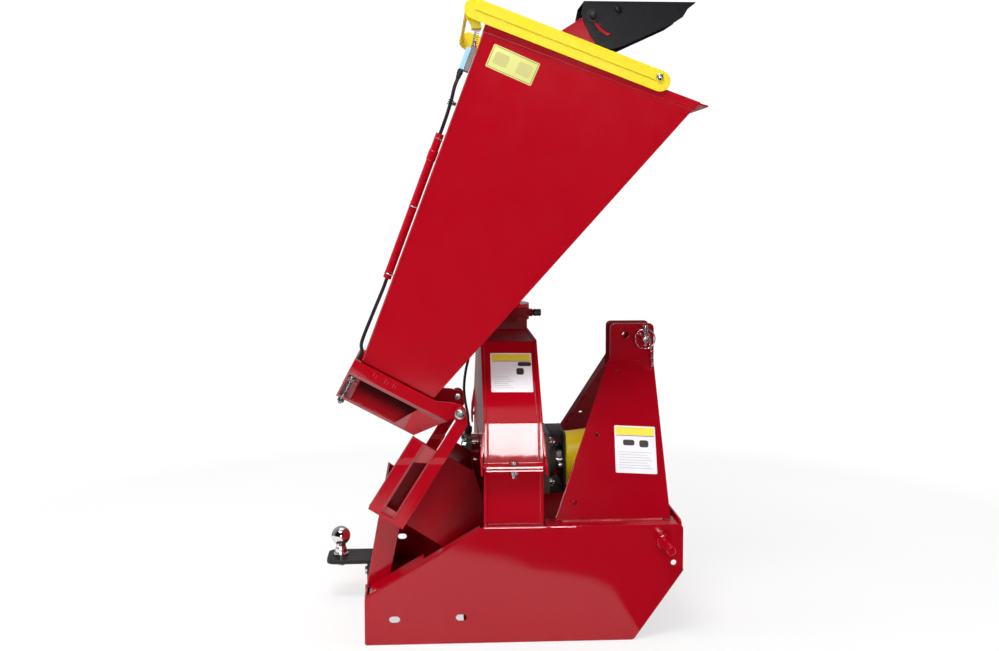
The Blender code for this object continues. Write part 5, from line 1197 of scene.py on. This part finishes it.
def labels():
    panel("label_hopper", W(0.1127, -0.3954, 1.4159), W(0.2167, -0.3967, 1.3710), W(0.1958, -0.3894, 1.3206), W(0.0906, -0.3882, 1.3666), "hopper", "label_yellow",
          [("label_dark", 0.03, 0.045, 0.97, 0.062, 0.0001), ("label_dark", 0.03, 0.938, 0.97, 0.955, 0.0001), ("label_dark", 0.022, 0.045, 0.030, 0.955, 0.0001),
           ("label_dark", 0.970, 0.045, 0.978, 0.955, 0.0001), ("label_ochre", 0.10, 0.24, 0.40, 0.76, 0.006), ("label_ochre", 0.60, 0.24, 0.90, 0.76, 0.006)])
    for name, c, x0, y0, x1, y1 in (("label_housing", ((0.1143, -0.1646, 0.6751), (0.2191, -0.1653, 0.6744), (0.2126, -0.2508, 0.5895), (0.1110, -0.2500, 0.5903)), 0.66, 0.66, 0.985, 0.765),
                                    ("label_aframe", ((0.4305, -0.1536, 0.4856), (0.5344, -0.1567, 0.4814), (0.5279, -0.2340, 0.3769), (0.4244, -0.2300, 0.3823)), 0.20, 0.58, 0.48, 0.70)):
        parts = [("label_band", 0.03, 0.80, 0.97, 0.97, 0.001), ("label_dark", 0.03, 0.782, 0.97, 0.794, 0.0001), ("label_dark", x0, y0, x1, y1, 0.006)]
        if name == "label_aframe":
            parts.append(("label_dark", 0.60, 0.55, 0.82, 0.70, 0.006))
        if name == "label_housing":
            parts.append(("label_dark", 0.62, 0.44, 0.80, 0.61, 0.006))
        for k in range(6 if name == "label_housing" else 7):
            y = 0.10 + k * 0.055
            parts.append(("label_pale", 0.08, y, (0.54 if name == "label_housing" else 0.90) - 0.06 * (k % 3), y + 0.014, 0.0001))
        panel(name, *(W(*q) for q in c), "frame", "label_white", parts)


hitch()
chain()
tow()
drive()
bolts()
clamp()
chute_parts()
lead()
frames()
neck()
# the far A-frame plate gets the darker red: painted shade
bpy.data.objects["aframe_plate_far_finish"].data.materials[0] = MATS["far_plate_paint"]
welds()
labels()
hems()

# ================================================================ floor
def plane(name, x0, x1, y0, y1, z, nx=2, ny=2):
    bm = bmesh.new()
    bmesh.ops.create_grid(bm, x_segments=nx, y_segments=ny, size=0.5)
    bmesh.ops.transform(bm, verts=bm.verts, matrix=Matrix.Translation(((x0 + x1) / 2, (y0 + y1) / 2, z)) @ Matrix.Diagonal((x1 - x0, y1 - y0, 1, 1)))
    me = bpy.data.meshes.new(name)
    bm.to_mesh(me)
    bm.free()
    o = link(bpy.data.objects.new(name, me))
    return o


def floor():
    o = plane("floor", -40, 40, -40, 40, -0.0005)
    m = Mat("floor", (0.93, 0.93, 0.93), 0.8)
    m.color_from(m.mix(m.map(m.noise(2.0, 2.0), 0.3, 0.7, 0.0, 1.0), (0.925, 0.925, 0.925), (0.935, 0.935, 0.935)))
    m.b.inputs["Specular IOR Level"].default_value = 0.15
    # the lit studio floor runs out into the white background
    lp = m.t.nodes.new("ShaderNodeLightPath")
    em = m.new("ShaderNodeEmission", Strength=1.02)
    sep = m.t.nodes.new("ShaderNodeSeparateXYZ")
    m.link(m.co, sep.inputs[0])
    ln = m.t.nodes.new("ShaderNodeVectorMath")
    ln.operation = "LENGTH"
    m.link(m.co, ln.inputs[0])
    far = m.map(ln.outputs["Value"], 0.7, 2.4, 0.0, 1.0, True)
    near = m.map(ln.outputs["Value"], 0.0, 1.0, 0.58, 0.74)
    k = m.t.nodes.new("ShaderNodeMath")
    k.operation = "MAXIMUM"
    m.link(far, k.inputs[0])
    m.link(near, k.inputs[1])
    k2 = m.t.nodes.new("ShaderNodeMath")
    k2.operation = "MULTIPLY"
    m.link(k.outputs[0], k2.inputs[0])
    m.link(lp.outputs["Is Camera Ray"], k2.inputs[1])
    mix = m.t.nodes.new("ShaderNodeMixShader")
    m.link(k2.outputs[0], mix.inputs["Fac"])
    m.link(m.b.outputs[0], mix.inputs[1])
    m.link(em.outputs[0], mix.inputs[2])
    m.link(mix.outputs[0], m.t.nodes["Material Output"].inputs["Surface"])
    o.data.materials.append(m.m)


def gloss_card(name, pts, z, color):
    """Dark sheet on the studio floor that only shows in the paint's gloss."""
    bm = bmesh.new()
    bm.faces.new([bm.verts.new((x, y, z)) for x, y in pts])
    me = bpy.data.meshes.new(name)
    bm.to_mesh(me)
    bm.free()
    o = link(bpy.data.objects.new(name, me))
    m = Mat(name, (0, 0, 0), 1.0)
    sep = m.t.nodes.new("ShaderNodeSeparateXYZ")
    m.link(m.co, sep.inputs[0])
    em = m.new("ShaderNodeEmission")
    # a little light comes back from the floor near the machine
    m.link(m.map(sep.outputs["Y"], -3.4, -1.1, color[0], color[1], True), em.inputs["Strength"])
    m.link(em.outputs[0], m.t.nodes["Material Output"].inputs["Surface"])
    me.materials.append(m.m)
    o.visible_camera = False
    o.visible_diffuse = False
    o.visible_shadow = False
    o.visible_transmission = False
    o.visible_volume_scatter = False
    return o


floor()
gloss_card("gloss_card_back", [(-9.0, 0.45), (9.0, 0.45), (9.0, 30.0), (-9.0, 30.0)], 0.004, (0.0, 0.20))
gloss_card("gloss_card", [(0.285, -0.352), (9.0, -0.352), (9.0, -60.0), (-9.0, -60.0), (-9.0, -1.90), (-0.34, -1.72), (-0.30, -1.22), (-0.20, -1.22),
                          (-0.1596, -1.083), (-0.090, -1.027), (-0.008, -0.975), (0.0646, -0.872), (0.1441, -0.842), (0.2228, -0.785), (0.2625, -0.708),
                          (0.2711, -0.570), (0.2791, -0.444)], 0.004, (0.0, 0.02))
